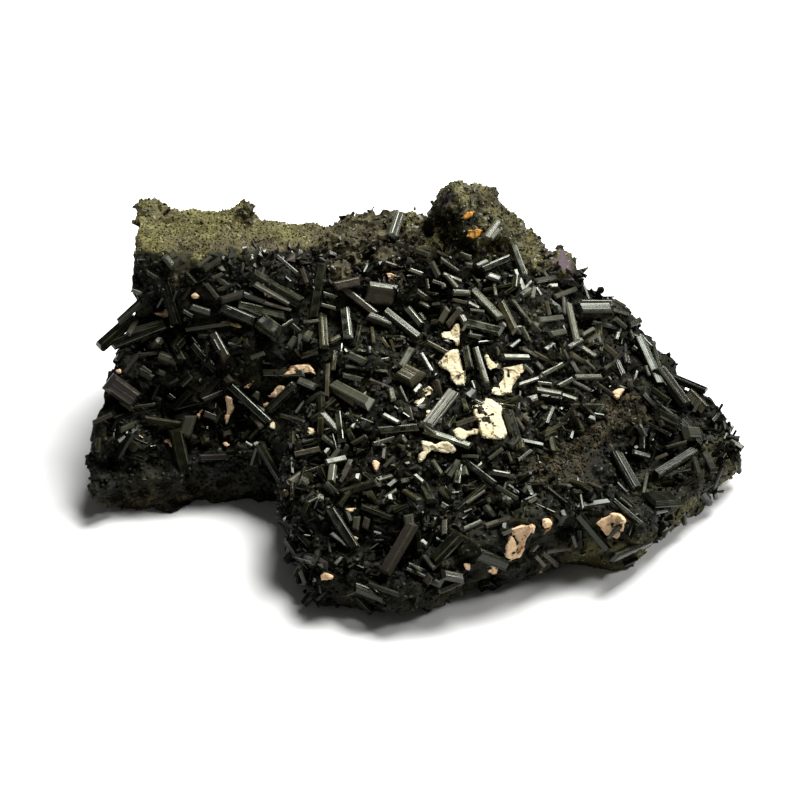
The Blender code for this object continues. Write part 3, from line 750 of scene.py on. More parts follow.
def rock_detail(point, wall, sugary, lump, boss, hollow):
    """The fine relief of the rock at a point, in millimetres."""
    chips = facet_rise(point, 4.5, 0.55) + facet_rise(point + Vector((5.0, 2.0, 8.0)), 2.0, 0.22)
    pits = smooth_step(noise.noise(point / 3.2 + Vector((1.0, 4.0, 6.0))), 0.05, 0.35) * (1.0 - lump)
    broad = facet_rise(point + Vector((1.0, 6.0, 3.0)), 9.0, 0.8) * wall
    chips += broad - pits * PIT_DEPTH * (1.0 - 0.85 * wall)
    sugar = noise.noise(point / 1.5) * 0.45 + noise.noise(point / 0.8) * 0.25 + facet_rise(point, 7.0, 0.5)
    detail = chips * (1.0 - sugary * 0.8) + sugar * (0.25 + 0.6 * sugary) - 0.15
    blocky = facet_rise(point + Vector((2.0, 7.0, 4.0)), 3.4, 0.7)
    detail = detail * (1.0 - boss) + blocky * max(lump, on_knob(point) * 0.8 * (1.0 - boss))
    return detail + LUMP_HEIGHT * lump + BOSS_HEIGHT * boss - HOLLOW_DEPTH * hollow


def cut_flat(bm):
    """Cuts the mesh off at the resting face and closes it."""
    whole = bm.verts[:] + bm.edges[:] + bm.faces[:]
    cut = bmesh.ops.bisect_plane(bm, geom=whole, plane_co=(0, 0, 0), plane_no=(0, 0, 1), clear_inner=True)
    edges = [item for item in cut["geom_cut"] if isinstance(item, bmesh.types.BMEdge)]
    bmesh.ops.triangle_fill(bm, use_beauty=True, edges=edges, normal=(0, 0, -1))


def make_rock(settings):
    rock = add_object("rock", rock_form().copy(), rock_finish())
    evened(rock, settings.voxel / MM)
    tree = tree_of(rock_form())
    line, spots = grit_line(tree), spots_on(tree)
    mesh = rock.data
    normals = [vert.normal.copy() for vert in mesh.vertices]
    for vert, normal in zip(mesh.vertices, normals):
        point = vert.co / MM
        raised = (spot_at(point, spots[name]) for name in ("lump", "boss", "hollow"))
        wall = smooth_step(normal.y, 0.2, 0.5) + smooth_step(-normal.z, 0.0, 0.5)
        detail = rock_detail(point, min(1.0, wall), sugary_at(point, normal), *raised)
        vert.co = (point + normal * detail) * MM
    bm = bmesh.new()
    bm.from_mesh(mesh)
    cut_flat(bm)
    bm.to_mesh(mesh)
    bm.free()
    places = [(vert.co / MM, vert.normal.copy()) for vert in mesh.vertices]
    marks = {name: np.array([spot_at(point, spots[name]) for point, _ in places]) for name in SPOTS}
    marks["sugary"] = np.array([sugary_at(*place) for place in places])
    marks["sugary"] *= (1.0 - marks["lump"] * 0.6) * (1.0 - marks["hollow"]) * (1.0 - marks["plum"])
    marks["sugary"] *= (1.0 - marks["boss"]) * (1.0 - marks["bare"])
    marks["gritty"] = np.array([gritty_at(point, line) for point, _ in places])
    for name, values in marks.items():
        give_attribute(mesh, name, values)
    mesh.polygons.foreach_set("use_smooth", [False] * len(mesh.polygons))
    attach(rock, "root")
    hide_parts("matrix")


# Prisms

WORN_SHARE = 0.07
GROOVE_DEPTH = (0.005, 0.03)
PRISM_CORNERS = 24
STROKE_SAMPLES = 5


def prism_section(picker, width, thickness, grooves):
    """The outline across a prism, with its worn edges and grooved faces: (point, starts a worn edge)."""
    corners = (
        (0.5, 0.0), (0.32, 0.5), (-0.32, 0.5),
        (-0.5, 0.0), (-0.32, -0.5), (0.32, -0.5),
    )
    corners = [Vector((x * width, y * thickness)) for x, y in corners]
    worn = WORN_SHARE * thickness
    points = []
    for a, b in zip(corners, corners[1:] + corners[:1]):
        side = b - a
        inwards = Vector((-side.y, side.x)).normalized()
        share = min(0.3, worn / side.length)
        points.append((a + side * share, False))
        for number in range(grooves):
            middle = (number + picker.uniform(0.3, 0.8)) / grooves
            middle = share * 1.6 + (1 - share * 3.2) * middle
            depth = picker.uniform(*GROOVE_DEPTH) * thickness
            points.append((a + side * (middle - 0.02), False))
            points.append((a + side * (middle + 0.02) + inwards * depth, False))
        points.append((b - side * share, True))
    return points


def add_prism(bm, picker, place, length, width, thickness, tone, grooves=0, broken=0.35):
    """One epidote prism with a roof or a broken face on each end, unwrapped along its length."""
    section = prism_section(picker, width, thickness, grooves)
    tone_layer = bm.verts.layers.float.get("tone") or bm.verts.layers.float.new("tone")
    edge_layer = bm.faces.layers.float.get("edge") or bm.faces.layers.float.new("edge")
    uv_layer = bm.loops.layers.uv.get("UVMap") or bm.loops.layers.uv.new("UVMap")
    rings = []
    for end in (-1, 1):
        lean = picker.uniform(-broken, broken)
        ring = []
        for point, _ in section:
            drop = abs(point.y) * ROOF_SLOPE + lean * point.x + abs(lean) * width / 2
            vert = bm.verts.new(place @ (Vector((point.x, point.y, end * (length / 2 - drop))) * MM))
            vert[tone_layer] = tone
            ring.append(vert)
        rings.append(ring)
    start = around = picker.uniform(0.0, 50.0)
    for number, (point, is_worn) in enumerate(section):
        after = (number + 1) % len(section)
        step = (section[after][0] - point).length
        face = bm.faces.new((rings[0][number], rings[0][after], rings[1][after], rings[1][number]))
        face[edge_layer] = 1.0 if is_worn else 0.0
        corners = ((around, 0.0), (around + step, 0.0), (around + step, length), (around, length))
        for loop, corner in zip(face.loops, corners):
            loop[uv_layer].uv = corner
        around += step
    upper = [number for number, (point, _) in enumerate(section) if point.y > 0]
    lower = [number for number, (point, _) in enumerate(section) if point.y < 0]
    ridge = [upper[0], upper[-1], lower[0], lower[-1]]
    for ring, inside_out in zip(rings, (True, False)):
        for numbers in (upper, ridge, lower):
            corners = [ring[number] for number in numbers]
            face = bm.faces.new(corners[::-1] if inside_out else corners)
            for loop in face.loops:
                loop[uv_layer].uv = (start, 0.0)


def laid(centre, axis, normal, roll=0.0):
    """A matrix that lays a prism along an axis at a point in millimetres, its flat face outwards."""
    along = axis.normalized()
    outwards = (normal - along * normal.dot(along)).normalized()
    turn = Matrix((outwards.cross(along), outwards, along)).transposed().to_4x4()
    return Matrix.Translation(centre * MM) @ turn @ Matrix.Rotation(roll, 4, "Z")


def marked_place(tree, row):
    """Where a listed crystal lies, with its sizes. It sits partly in the rock."""
    x, y, z, heading, tilt, length, width, thickness = row
    centre = Vector((x, y, z))
    normal = tree.find_nearest(centre * MM)[1]
    centre = centre + normal * thickness * PRISM_SHARE_BURIED
    return laid(centre, heading_and_tilt(heading, tilt), normal), length, width, thickness


def crystal_piece(name, bm, material):
    bmesh.ops.recalc_face_normals(bm, faces=bm.faces)
    piece = add_object(name, mesh_from(bm, name), material)
    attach(piece, "root")
    return piece


def make_large_crystals(settings):
    tree = tree_of(rock_form())
    finish = crystal_finish("large_crystal_faces", settings.dust)
    for number, (row, tone) in enumerate(zip(LARGE_CRYSTALS, LARGE_TONES_AND_HIGHLIGHTS), 1):
        picker = random.Random(number)
        bm = bmesh.new()
        add_prism(bm, picker, *marked_place(tree, row), tone, grooves=4)
        piece = crystal_piece(f"large_prism_{number:02d}", bm, finish)
        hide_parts(f"large_crystal_{number:02d}")


# The middle-sized crystals, fused to the rock in the solid part

MIDDLE_SLIMNESS = 0.7
MIDDLE_TONES = (0.0, 0.1, 0.25, 0.3, 0.35, 0.4, 0.45, 0.5, 0.55, 0.62, 0.7, 0.82)


def coat_grows_at(point, normal):
    """Where the fused prisms of the solid part grow."""
    at_shelf = point.y > SHELF_FRONT and point.x < SHELF_RIGHT and point.z > SHELF_FLOOR
    at_knob = point.z > 39.0 and point.x > SHELF_RIGHT
    at_back = normal.y > 0.35 or point.y > 31.0
    at_foot = point.z < 4.0 or normal.z < -0.2
    near_large = any((point - Vector(row[:3])).length < CLEAR_OF_LARGE for row in LARGE_CRYSTALS)
    near_pale = any((point - Vector(row[:3])).length < CLEAR_OF_PALE for row in PALE_PATCHES)
    return not (at_shelf or at_knob or at_back or at_foot or near_large or near_pale)


def surface_points(mesh, count, spacing, seed):
    """Points spread over the rock where the coat grows, each with its normal, in millimetres."""
    picker = random.Random(seed)
    mesh.calc_loop_triangles()
    triangles = list(mesh.loop_triangles)
    areas = [triangle.area for triangle in triangles]
    found = []
    for _ in range(count * TRIES_PER_POINT):
        triangle = picker.choices(triangles, weights=areas)[0]
        a, b, c = (mesh.vertices[i].co for i in triangle.vertices)
        s, t = sorted((picker.random(), picker.random()))
        point = (a * s + b * (t - s) + c * (1 - t)) / MM
        apart = all((point - other).length > spacing for other, _ in found)
        if apart and coat_grows_at(point, triangle.normal):
            found.append((point, triangle.normal.copy()))
        if len(found) == count:
            break
    return found


def within_rim(point, clearance=RIM_CLEARANCE, tip_rise=TIP_RISE):
    """Whether a point in millimetres is above the ground, inside the outline and not far above the top."""
    past = math.hypot(point.x, point.y) - reach(math.atan2(point.y, point.x))
    rise = point.z - top_height(point.x, point.y)
    return past < -clearance and rise < tip_rise and point.z > 0.5


def jackstraw_axis(centre, normal, length, picker):
    """A random way for a prism to lie: mostly along the surface, with one end standing a little proud."""
    across = normal.orthogonal().normalized()
    for _ in range(JACKSTRAW_TRIES):
        heading = Matrix.Rotation(picker.uniform(0, 2 * math.pi), 3, normal) @ across
        axis = (heading + normal * picker.uniform(0.0, 0.7)).normalized()
        half = axis * length / 2
        if within_rim(centre + half) and within_rim(centre - half):
            return axis
    return None


def make_middle_crystals(settings):
    form = rock_form()
    tree = tree_of(form)
    strokes = listed_strokes(tree)
    share = np.linspace(-0.5, 0.5, STROKE_SAMPLES)[None, :, None]
    bm = bmesh.new()
    tones = random.Random(5)
    shapes = random.Random(6)
    for row in MARKED_CRYSTALS:
        add_prism(bm, shapes, *marked_place(tree, row), tones.choice(MIDDLE_TONES), grooves=3)
    picker = random.Random(COAT_SEED)
    for point, normal in surface_points(form, COAT_COUNT, COAT_SPACING, COAT_SEED):
        length = picker.uniform(*COAT_LENGTH)
        width = picker.uniform(*COAT_WIDTH)
        thickness = width * picker.uniform(*COAT_FLATNESS)
        roll = picker.uniform(-0.8, 0.8)
        centre = point + normal * thickness * PRISM_SHARE_BURIED
        axis = jackstraw_axis(centre, normal, length, picker)
        if not axis or on_ledge(point) or on_knob(point) > 0.3:
            continue
        samples = np.array(centre)[None, None, :] + np.array(axis * length)[None, None, :] * share
        if not hides_listed(samples, strokes)[0]:
            place = laid(centre, axis, normal, roll)
            width, thickness = width * MIDDLE_SLIMNESS, thickness * MIDDLE_SLIMNESS
            add_prism(bm, shapes, place, length, width, thickness, tones.choice(MIDDLE_TONES), grooves=3)
    crystal_piece("middle_prisms", bm, crystal_finish("middle_crystal_faces", settings.dust))


# Smaller crystals that can be told apart in the photograph: the pixels of both ends, width in pixels, tone.
# The palest tones are partly painted highlights where a crystal shows a glint.

LEFT_FACE_CRYSTALS = (
    (102, 334, 128, 310, 8, 0.92), (122, 338, 134, 319, 6, 0.95), (125, 334, 162, 323, 9, 0.90),
    (131, 290, 143, 293, 4, 1.00), (176, 290, 173, 300, 3, 0.60), (191, 287, 183, 300, 3, 0.60),
    (157, 306, 163, 296, 3, 0.50), (190, 306, 211, 312, 7, 0.97), (184, 309, 193, 315, 4, 0.95),
    (185, 329, 232, 325, 4, 0.93), (138, 332, 160, 337, 4, 0.45), (140, 343, 153, 336, 3, 0.60),
    (172, 350, 181, 335, 4, 0.55), (185, 272, 197, 285, 6, 0.50), (146, 271, 157, 279, 4, 0.80),
    (163, 256, 173, 268, 8, 0.97), (199, 267, 211, 259, 4, 1.00), (204, 271, 221, 261, 6, 0.92),
    (211, 279, 222, 274, 4, 0.95), (215, 277, 228, 286, 5, 0.97), (206, 283, 218, 299, 5, 0.97),
    (216, 291, 230, 284, 4, 0.80), (219, 301, 245, 293, 8, 0.85), (243, 294, 268, 303, 6, 0.97),
    (262, 302, 292, 310, 4, 0.80), (254, 284, 291, 304, 6, 0.78), (223, 308, 256, 322, 6, 0.40),
    (236, 307, 262, 319, 6, 0.50), (197, 336, 209, 338, 5, 0.97), (281, 329, 293, 321, 3, 0.70),
    (213, 341, 219, 352, 6, 0.50), (243, 338, 236, 346, 3, 0.70), (246, 339, 247, 346, 5, 0.70),
    (288, 348, 297, 338, 7, 0.95), (276, 257, 298, 276, 5, 0.90), (300, 270, 306, 285, 5, 0.78),
    (322, 293, 337, 297, 4, 0.60), (320, 304, 337, 309, 4, 0.80), (303, 324, 319, 322, 4, 0.80),
    (329, 345, 342, 339, 6, 0.75), (123, 373, 141, 353, 4, 0.90), (139, 356, 158, 354, 4, 0.85),
    (139, 371, 153, 378, 7, 0.93), (143, 367, 151, 373, 3, 1.00), (156, 371, 167, 374, 6, 0.80),
    (169, 383, 179, 378, 4, 0.90), (182, 386, 193, 376, 5, 0.60), (132, 408, 155, 404, 4, 0.70),
    (168, 393, 177, 401, 5, 0.45), (144, 420, 182, 425, 7, 0.70), (184, 438, 192, 413, 13, 0.95),
    (99, 438, 98, 452, 5, 0.70), (95, 426, 112, 417, 5, 0.80), (119, 401, 131, 412, 6, 0.80),
    (239, 399, 268, 413, 6, 0.85), (253, 415, 265, 431, 6, 0.97), (252, 392, 263, 398, 9, 0.95),
    (251, 357, 266, 352, 5, 0.70), (226, 376, 233, 383, 8, 0.80), (203, 413, 218, 419, 7, 0.85),
    (290, 383, 299, 391, 7, 0.97), (283, 418, 306, 426, 4, 0.90), (222, 436, 232, 433, 6, 0.75),
    (242, 441, 251, 431, 5, 0.60), (252, 442, 263, 430, 5, 0.60), (298, 380, 318, 388, 8, 0.93),
    (221, 410, 214, 424, 6, 0.50), (301, 357, 319, 352, 6, 0.50), (295, 457, 322, 450, 7, 0.80),
)
MIDDLE_CRYSTALS = (
    (367, 317, 395, 328, 10, 0.90), (371, 330, 374, 348, 4, 0.70), (382, 340, 388, 350, 4, 0.70),
    (350, 356, 368, 364, 8, 0.92), (346, 366, 388, 373, 4, 0.93), (371, 381, 391, 392, 3, 0.85),
    (390, 391, 394, 405, 6, 0.98), (384, 416, 399, 424, 5, 0.98), (329, 364, 329, 401, 5, 0.78),
    (336, 352, 334, 372, 5, 0.70), (352, 446, 370, 437, 5, 0.80), (336, 394, 357, 408, 6, 0.74),
    (410, 270, 424, 275, 4, 1.00), (432, 262, 440, 278, 7, 0.95), (441, 259, 458, 272, 4, 0.80),
    (443, 273, 462, 282, 4, 0.75), (446, 274, 458, 290, 5, 0.80), (433, 281, 447, 286, 4, 0.90),
    (444, 283, 446, 290, 5, 0.97), (428, 279, 429, 290, 3, 0.80), (452, 294, 470, 296, 7, 0.93),
    (452, 300, 468, 304, 4, 0.80), (463, 265, 472, 266, 6, 0.90), (475, 267, 488, 261, 6, 0.90),
    (484, 275, 502, 283, 8, 0.85), (493, 285, 497, 300, 4, 0.70), (442, 325, 451, 308, 7, 0.97),
    (448, 328, 463, 309, 7, 0.85), (462, 316, 467, 326, 7, 0.97), (470, 311, 485, 313, 3, 1.00),
    (408, 308, 423, 328, 8, 0.93), (418, 291, 427, 299, 5, 0.80), (420, 302, 430, 308, 4, 0.70),
    (432, 305, 441, 304, 3, 0.80), (468, 303, 480, 310, 4, 0.70), (430, 325, 440, 322, 6, 0.60),
    (420, 312, 426, 322, 4, 0.60), (501, 304, 515, 335, 9, 0.72), (520, 326, 528, 342, 5, 0.93),
    (532, 331, 536, 322, 7, 0.97), (511, 303, 530, 326, 5, 0.60), (524, 318, 540, 334, 5, 0.50),
    (533, 290, 531, 301, 4, 1.00), (535, 289, 540, 297, 3, 0.90), (543, 302, 547, 318, 5, 0.80),
    (535, 322, 560, 320, 6, 0.93), (551, 299, 575, 290, 6, 0.93), (560, 300, 561, 318, 4, 0.85),
    (534, 283, 556, 279, 6, 0.90), (556, 280, 580, 286, 9, 0.70), (545, 275, 576, 274, 6, 0.40),
    (581, 339, 590, 331, 4, 1.00), (582, 286, 588, 302, 3, 0.90), (540, 272, 548, 283, 5, 0.90),
    (545, 337, 562, 334, 7, 0.93), (413, 350, 400, 371, 8, 0.90), (420, 354, 432, 374, 5, 0.85),
    (427, 345, 452, 357, 5, 0.70), (465, 346, 470, 372, 8, 0.50), (475, 347, 487, 387, 7, 0.93),
    (421, 386, 412, 398, 5, 0.90), (420, 425, 436, 437, 5, 0.85), (463, 402, 468, 413, 6, 0.60),
    (455, 427, 477, 419, 5, 0.80), (501, 357, 530, 358, 6, 0.80), (520, 348, 538, 357, 4, 0.85),
    (532, 352, 556, 367, 5, 0.75), (540, 377, 562, 365, 5, 0.93), (517, 386, 541, 378, 5, 0.85),
    (536, 383, 552, 385, 4, 0.98), (533, 390, 562, 397, 6, 0.75), (556, 388, 572, 379, 5, 0.93),
    (570, 381, 590, 392, 5, 0.90), (560, 396, 577, 402, 5, 0.70), (568, 360, 577, 375, 5, 0.90),
    (560, 352, 566, 362, 4, 0.85), (566, 350, 582, 342, 5, 0.95), (580, 348, 595, 358, 6, 0.97),
    (583, 363, 592, 371, 3, 0.80), (545, 425, 553, 408, 4, 0.85), (535, 362, 543, 372, 5, 0.90),
    (522, 366, 532, 376, 4, 0.90), (518, 416, 528, 424, 7, 0.80), (526, 405, 536, 400, 8, 0.85),
    (513, 420, 522, 433, 5, 0.85), (395, 244, 432, 257, 6, 0.93), (391, 240, 399, 215, 12, 0.95),
    (484, 242, 497, 223, 9, 0.80), (490, 240, 498, 230, 5, 1.00),
)
RIGHT_CRYSTALS = (
    (611, 303, 622, 309, 4, 1.00), (611, 311, 627, 316, 5, 0.80), (612, 318, 625, 330, 6, 0.95),
    (590, 323, 618, 328, 5, 0.90), (632, 336, 645, 341, 3, 1.00), (638, 338, 651, 352, 5, 0.97),
    (614, 342, 617, 331, 5, 0.97), (632, 348, 638, 353, 6, 0.95), (629, 330, 634, 343, 4, 0.90),
    (625, 326, 638, 323, 7, 0.50), (640, 332, 654, 340, 7, 0.80), (578, 304, 611, 304, 4, 0.80),
    (613, 362, 622, 380, 7, 0.88), (624, 356, 626, 368, 7, 0.85), (600, 372, 612, 362, 4, 0.90),
    (645, 367, 648, 379, 4, 0.97), (651, 346, 661, 388, 5, 0.93), (674, 374, 696, 386, 7, 0.50),
    (596, 386, 612, 398, 4, 0.90), (690, 416, 700, 402, 4, 0.93), (655, 405, 672, 418, 4, 0.90),
    (655, 425, 675, 420, 8, 0.83), (572, 378, 600, 378, 6, 0.70), (662, 448, 684, 443, 4, 0.80),
    (693, 461, 697, 478, 5, 0.90), (630, 452, 648, 458, 6, 0.90), (612, 503, 640, 525, 5, 0.50),
    (646, 475, 642, 500, 4, 0.93), (652, 516, 664, 509, 3, 0.90), (606, 537, 621, 524, 5, 0.45),
    (680, 434, 697, 436, 16, 0.95), (650, 462, 664, 456, 4, 0.80), (705, 456, 711, 474, 8, 0.90),
)
FRONT_CRYSTALS = (
    (431, 461, 441, 478, 5, 0.95), (459, 459, 447, 480, 6, 0.93), (443, 476, 452, 464, 4, 0.50),
    (456, 487, 460, 463, 8, 0.60), (465, 466, 467, 478, 7, 1.00), (461, 455, 480, 457, 4, 0.93),
    (413, 474, 424, 486, 5, 0.97), (466, 507, 486, 492, 4, 0.80), (464, 532, 482, 524, 5, 0.95),
    (484, 529, 500, 523, 6, 0.80), (407, 515, 412, 535, 10, 0.95), (440, 505, 449, 511, 7, 0.90),
    (452, 530, 478, 545, 3, 0.70), (446, 521, 446, 538, 6, 0.72), (384, 470, 396, 459, 4, 0.90),
    (384, 500, 397, 491, 4, 0.78), (343, 478, 352, 461, 5, 0.85), (341, 486, 352, 467, 4, 0.85),
    (356, 531, 358, 516, 7, 0.97), (365, 530, 368, 517, 7, 0.83), (346, 512, 352, 523, 5, 0.90),
    (361, 508, 395, 520, 6, 0.50), (488, 460, 502, 449, 4, 0.95), (507, 452, 511, 463, 3, 0.95),
    (490, 474, 510, 478, 7, 0.88), (496, 490, 520, 504, 5, 0.93), (529, 506, 538, 500, 4, 0.97),
    (502, 536, 514, 530, 4, 1.00), (421, 541, 429, 549, 6, 0.83), (425, 557, 436, 570, 5, 0.93),
    (424, 584, 432, 574, 8, 0.85), (440, 574, 462, 578, 10, 0.85), (438, 590, 462, 580, 6, 0.80),
    (545, 551, 571, 547, 4, 0.90), (570, 531, 576, 545, 4, 0.90), (541, 550, 556, 564, 5, 0.80),
    (533, 552, 543, 563, 4, 0.80), (537, 541, 530, 550, 5, 0.70), (301, 555, 338, 545, 4, 0.80),
    (335, 568, 343, 560, 4, 0.95), (347, 592, 374, 585, 4, 0.70), (372, 583, 400, 595, 5, 0.93),
    (330, 532, 350, 549, 5, 0.80), (412, 568, 423, 574, 3, 1.00), (586, 484, 600, 490, 4, 0.80),
)
SEEN_CRYSTALS = LEFT_FACE_CRYSTALS + MIDDLE_CRYSTALS + RIGHT_CRYSTALS + FRONT_CRYSTALS
PIXELS_PER_MM = 5.05
SEEN_LIFT = (0.4, 1.2)
DEEPEST_STEP = 0.004
WIDEST_GAP = 1.3


def seen_or_level(tree, x, y, level):
    """As seen_at, but at a given distance where the pixel is past the block's edge."""
    start, way = photo_ray(x, y)
    point, normal, _, distance = tree.ray_cast(start, way)
    if point is None:
        return (start + way * level) / MM, -way, level
    return point / MM, normal, distance


def seen_place(tree, row):
    """Where a crystal between two pixels lies, with its length, width and thickness in millimetres."""
    x0, y0, x1, y1, wide, _ = row
    picker = random.Random(x0 * PHOTO_SIZE + y0)
    level = seen_or_level(tree, (x0 + x1) / 2, (y0 + y1) / 2, CAMERA_DISTANCE)[2]
    lift = picker.uniform(*SEEN_LIFT)
    ends = []
    facing = -photo_ray(x0, y0)[1]
    for x, y in ((x0, y0), (x1, y1)):
        point, normal, distance = seen_or_level(tree, x, y, level)
        if abs(distance - level) > DEEPEST_STEP:
            start, way = photo_ray(x, y)
            point = (start + way * (level + math.copysign(DEEPEST_STEP, distance - level))) / MM
        ends.append(point + normal * lift)
        facing = facing + normal
    a, b = ends
    width = wide / PIXELS_PER_MM
    middle = (a + b) / 2
    nearest = tree.find_nearest(middle * MM)[0] / MM
    gap = (middle - nearest).length
    if gap > WIDEST_GAP:
        closer = (nearest - middle) * (1.0 - WIDEST_GAP / gap)
        a, b = a + closer, b + closer
    raise_by = max(0.0, width / 2 - min(a.z, b.z))
    a.z += raise_by
    b.z += raise_by
    place = laid((a + b) / 2, b - a, facing.normalized(), picker.uniform(-0.5, 0.5))
    return place, (b - a).length, width, width * picker.uniform(0.65, 0.95)


def make_seen_crystals(settings):
    tree = tree_of(rock_form())
    bm = bmesh.new()
    picker = random.Random(8)
    for row in SEEN_CRYSTALS:
        add_prism(bm, picker, *seen_place(tree, row), row[-1], grooves=3)
    crystal_piece("seen_prisms", bm, crystal_finish("seen_crystal_faces", settings.dust))


# Geometry Nodes that scatter shapes over a surface

SHAPE_LENGTH = 5.0
# How near the rock a scattered shape's points get full painted shade and none, in metres.
NEAR_ROCK_SHADE_HEIGHTS = (0.0004, 0.0016)


SCATTER_INPUTS = (
    ("Geometry", "NodeSocketGeometry"),
    ("Shapes", "NodeSocketCollection"),
    ("Material", "NodeSocketMaterial"),
    ("Seed", "NodeSocketInt"),
    ("Spacing", "NodeSocketFloat"),
    ("Density", "NodeSocketFloat"),
    ("Lift min", "NodeSocketFloat"),
    ("Lift max", "NodeSocketFloat"),
    ("Tilt min", "NodeSocketFloat"),
    ("Tilt max", "NodeSocketFloat"),
    ("Roll", "NodeSocketFloat"),
    ("Length min", "NodeSocketFloat"),
    ("Length max", "NodeSocketFloat"),
    ("Width min", "NodeSocketFloat"),
    ("Width max", "NodeSocketFloat"),
    ("Tone min", "NodeSocketFloat"),
    ("Tone max", "NodeSocketFloat"),
)


def scatter_tree():
    """Lays the shapes of a collection over a surface, at random ways and sizes, where it says they grow."""
    if "scattered_growth" in bpy.data.node_groups:
        return bpy.data.node_groups["scattered_growth"]
    tree = bpy.data.node_groups.new("scattered_growth", "GeometryNodeTree")
    for name, kind in SCATTER_INPUTS:
        tree.interface.new_socket(name, in_out="INPUT", socket_type=kind)
    tree.interface.new_socket("Geometry", in_out="OUTPUT", socket_type="NodeSocketGeometry")
    desk = NodeDesk(tree)
    given = desk.add("NodeGroupInput").outputs

    def between(low, high, seed_step):
        seed = desk.add("FunctionNodeInputInt", integer=seed_step)
        seed = added(desk, given["Seed"], seed)
        return desk.add("FunctionNodeRandomValue", {"Min": low, "Max": high, "Seed": seed}).outputs[1]

    def turned(rotation, x, z):
        parts = desk.add("ShaderNodeCombineXYZ", {"X": x, "Y": 0.0, "Z": z})
        by = desk.add("FunctionNodeEulerToRotation", {"Euler": parts})
        values = {"Rotation": rotation, "Rotate By": by}
        return desk.add("FunctionNodeRotateRotation", values, rotation_space="LOCAL")

    growth = desk.add("GeometryNodeInputNamedAttribute", {"Name": "growth"}, data_type="FLOAT")
    spots = desk.add("GeometryNodeDistributePointsOnFaces", {
        "Mesh": given["Geometry"],
        "Distance Min": given["Spacing"],
        "Density Max": given["Density"],
        "Density Factor": growth.outputs[0],
        "Seed": given["Seed"],
    }, distribute_method="POISSON")
    lift = between(given["Lift min"], given["Lift max"], 1)
    offset = desk.add("ShaderNodeVectorMath", operation="SCALE")
    desk.feed(spots.outputs["Normal"], offset, 0)
    desk.feed(lift, offset, "Scale")
    placed = desk.add("GeometryNodeSetPosition", {"Geometry": spots.outputs["Points"], "Offset": offset})
    turn = turned(spots.outputs["Rotation"], 0.0, between(0.0, 2 * math.pi, 2))
    tilt = between(given["Tilt min"], given["Tilt max"], 3)
    lying = desk.add("ShaderNodeMath", operation="SUBTRACT")
    desk.feed(math.pi / 2, lying, 0)
    desk.feed(tilt, lying, 1)
    turn = turned(turn, lying, 0.0)
    roll = between(given["Roll"], reckoned(desk, given["Roll"], -1.0), 4)
    turn = turned(turn, 0.0, roll)
    share = reckoned(desk, between(0.0, 1.0, 5), 1.6, "POWER")
    length = desk.add("ShaderNodeMapRange", {
        "Value": share, "To Min": given["Length min"], "To Max": given["Length max"],
    }).outputs["Result"]
    width = between(given["Width min"], given["Width max"], 6)
    thickness = reckoned(desk, width, between(0.6, 1.1, 7))
    scale = desk.add("ShaderNodeCombineXYZ", {"X": width, "Y": thickness, "Z": length})
    shapes = desk.add("GeometryNodeCollectionInfo", {
        "Collection": given["Shapes"], "Separate Children": True, "Reset Children": True,
    })
    laid_out = desk.add("GeometryNodeInstanceOnPoints", {
        "Points": placed, "Instance": shapes, "Pick Instance": True, "Rotation": turn, "Scale": scale,
    })
    tone = desk.add("ShaderNodeMapRange", {
        "Value": reckoned(desk, between(0.0, 1.0, 8), 1.5, "POWER"),
        "To Min": given["Tone min"],
        "To Max": given["Tone max"],
    }).outputs["Result"]
    toned = desk.add("GeometryNodeStoreNamedAttribute", {
        "Geometry": laid_out, "Name": "tone", "Value": tone,
    }, data_type="FLOAT", domain="INSTANCE")
    real = desk.add("GeometryNodeRealizeInstances", {"Geometry": toned})
    # Stores how near each point lies to the surface, for painted shade in the crystal finish.
    position = desk.add("GeometryNodeInputPosition")
    above = desk.add("GeometryNodeProximity", {"Geometry": given["Geometry"], "Sample Position": position})
    sunk = desk.add("ShaderNodeMapRange", {
        "Value": above.outputs["Distance"], "From Min": NEAR_ROCK_SHADE_HEIGHTS[0], "From Max": NEAR_ROCK_SHADE_HEIGHTS[1],
        "To Min": 1.0, "To Max": 0.0,
    }).outputs["Result"]
    real = desk.add("GeometryNodeStoreNamedAttribute", {
        "Geometry": real, "Name": "sunk", "Value": sunk,
    }, data_type="FLOAT", domain="POINT")
    finished = desk.add("GeometryNodeSetMaterial", {"Geometry": real, "Material": given["Material"]})
    desk.add("NodeGroupOutput", {"Geometry": finished})
    return tree


def added(desk, a, b):
    """The sum of two whole numbers."""
    node = desk.add("FunctionNodeIntegerMath", operation="ADD")
    desk.feed(a, node, 0)
    desk.feed(b, node, 1)
    return node.outputs[0]


def shape_collection(name, meshes):
    """A collection of the shapes that a scatter picks from. It isn't part of the scene."""
    collection = bpy.data.collections.new(name)
    for number, mesh in enumerate(meshes):
        collection.objects.link(bpy.data.objects.new(f"{name}_{number}", mesh))
    return collection


def drop_collection(collection):
    for obj in list(collection.objects):
        bpy.data.objects.remove(obj)
    bpy.data.collections.remove(collection)


def prism_shapes():
    """Plain prisms, each with ends broken more slantwise than the one before."""
    meshes = []
    for number in range(6):
        picker = random.Random(40 + number)
        bm = bmesh.new()
        add_prism(bm, picker, Matrix.Identity(4), SHAPE_LENGTH, 1.0, 1.0, 0.0, 0, 0.15 + 0.15 * number)
        bm.verts.layers.float.remove(bm.verts.layers.float["tone"])
        meshes.append(mesh_from(bm, f"prism_shape_{number}"))
    return shape_collection("prism_shapes", meshes)


def grain_shapes():
    """Uneven lumps of twenty faces."""
    meshes = []
    for number in range(4):
        picker = random.Random(70 + number)
        bm = bmesh.new()
        bmesh.ops.create_icosphere(bm, subdivisions=1, radius=0.5 * MM)
        for vert in bm.verts:
            vert.co *= picker.uniform(0.7, 1.25)
        meshes.append(mesh_from(bm, f"grain_shape_{number}"))
    return shape_collection("grain_shapes", meshes)


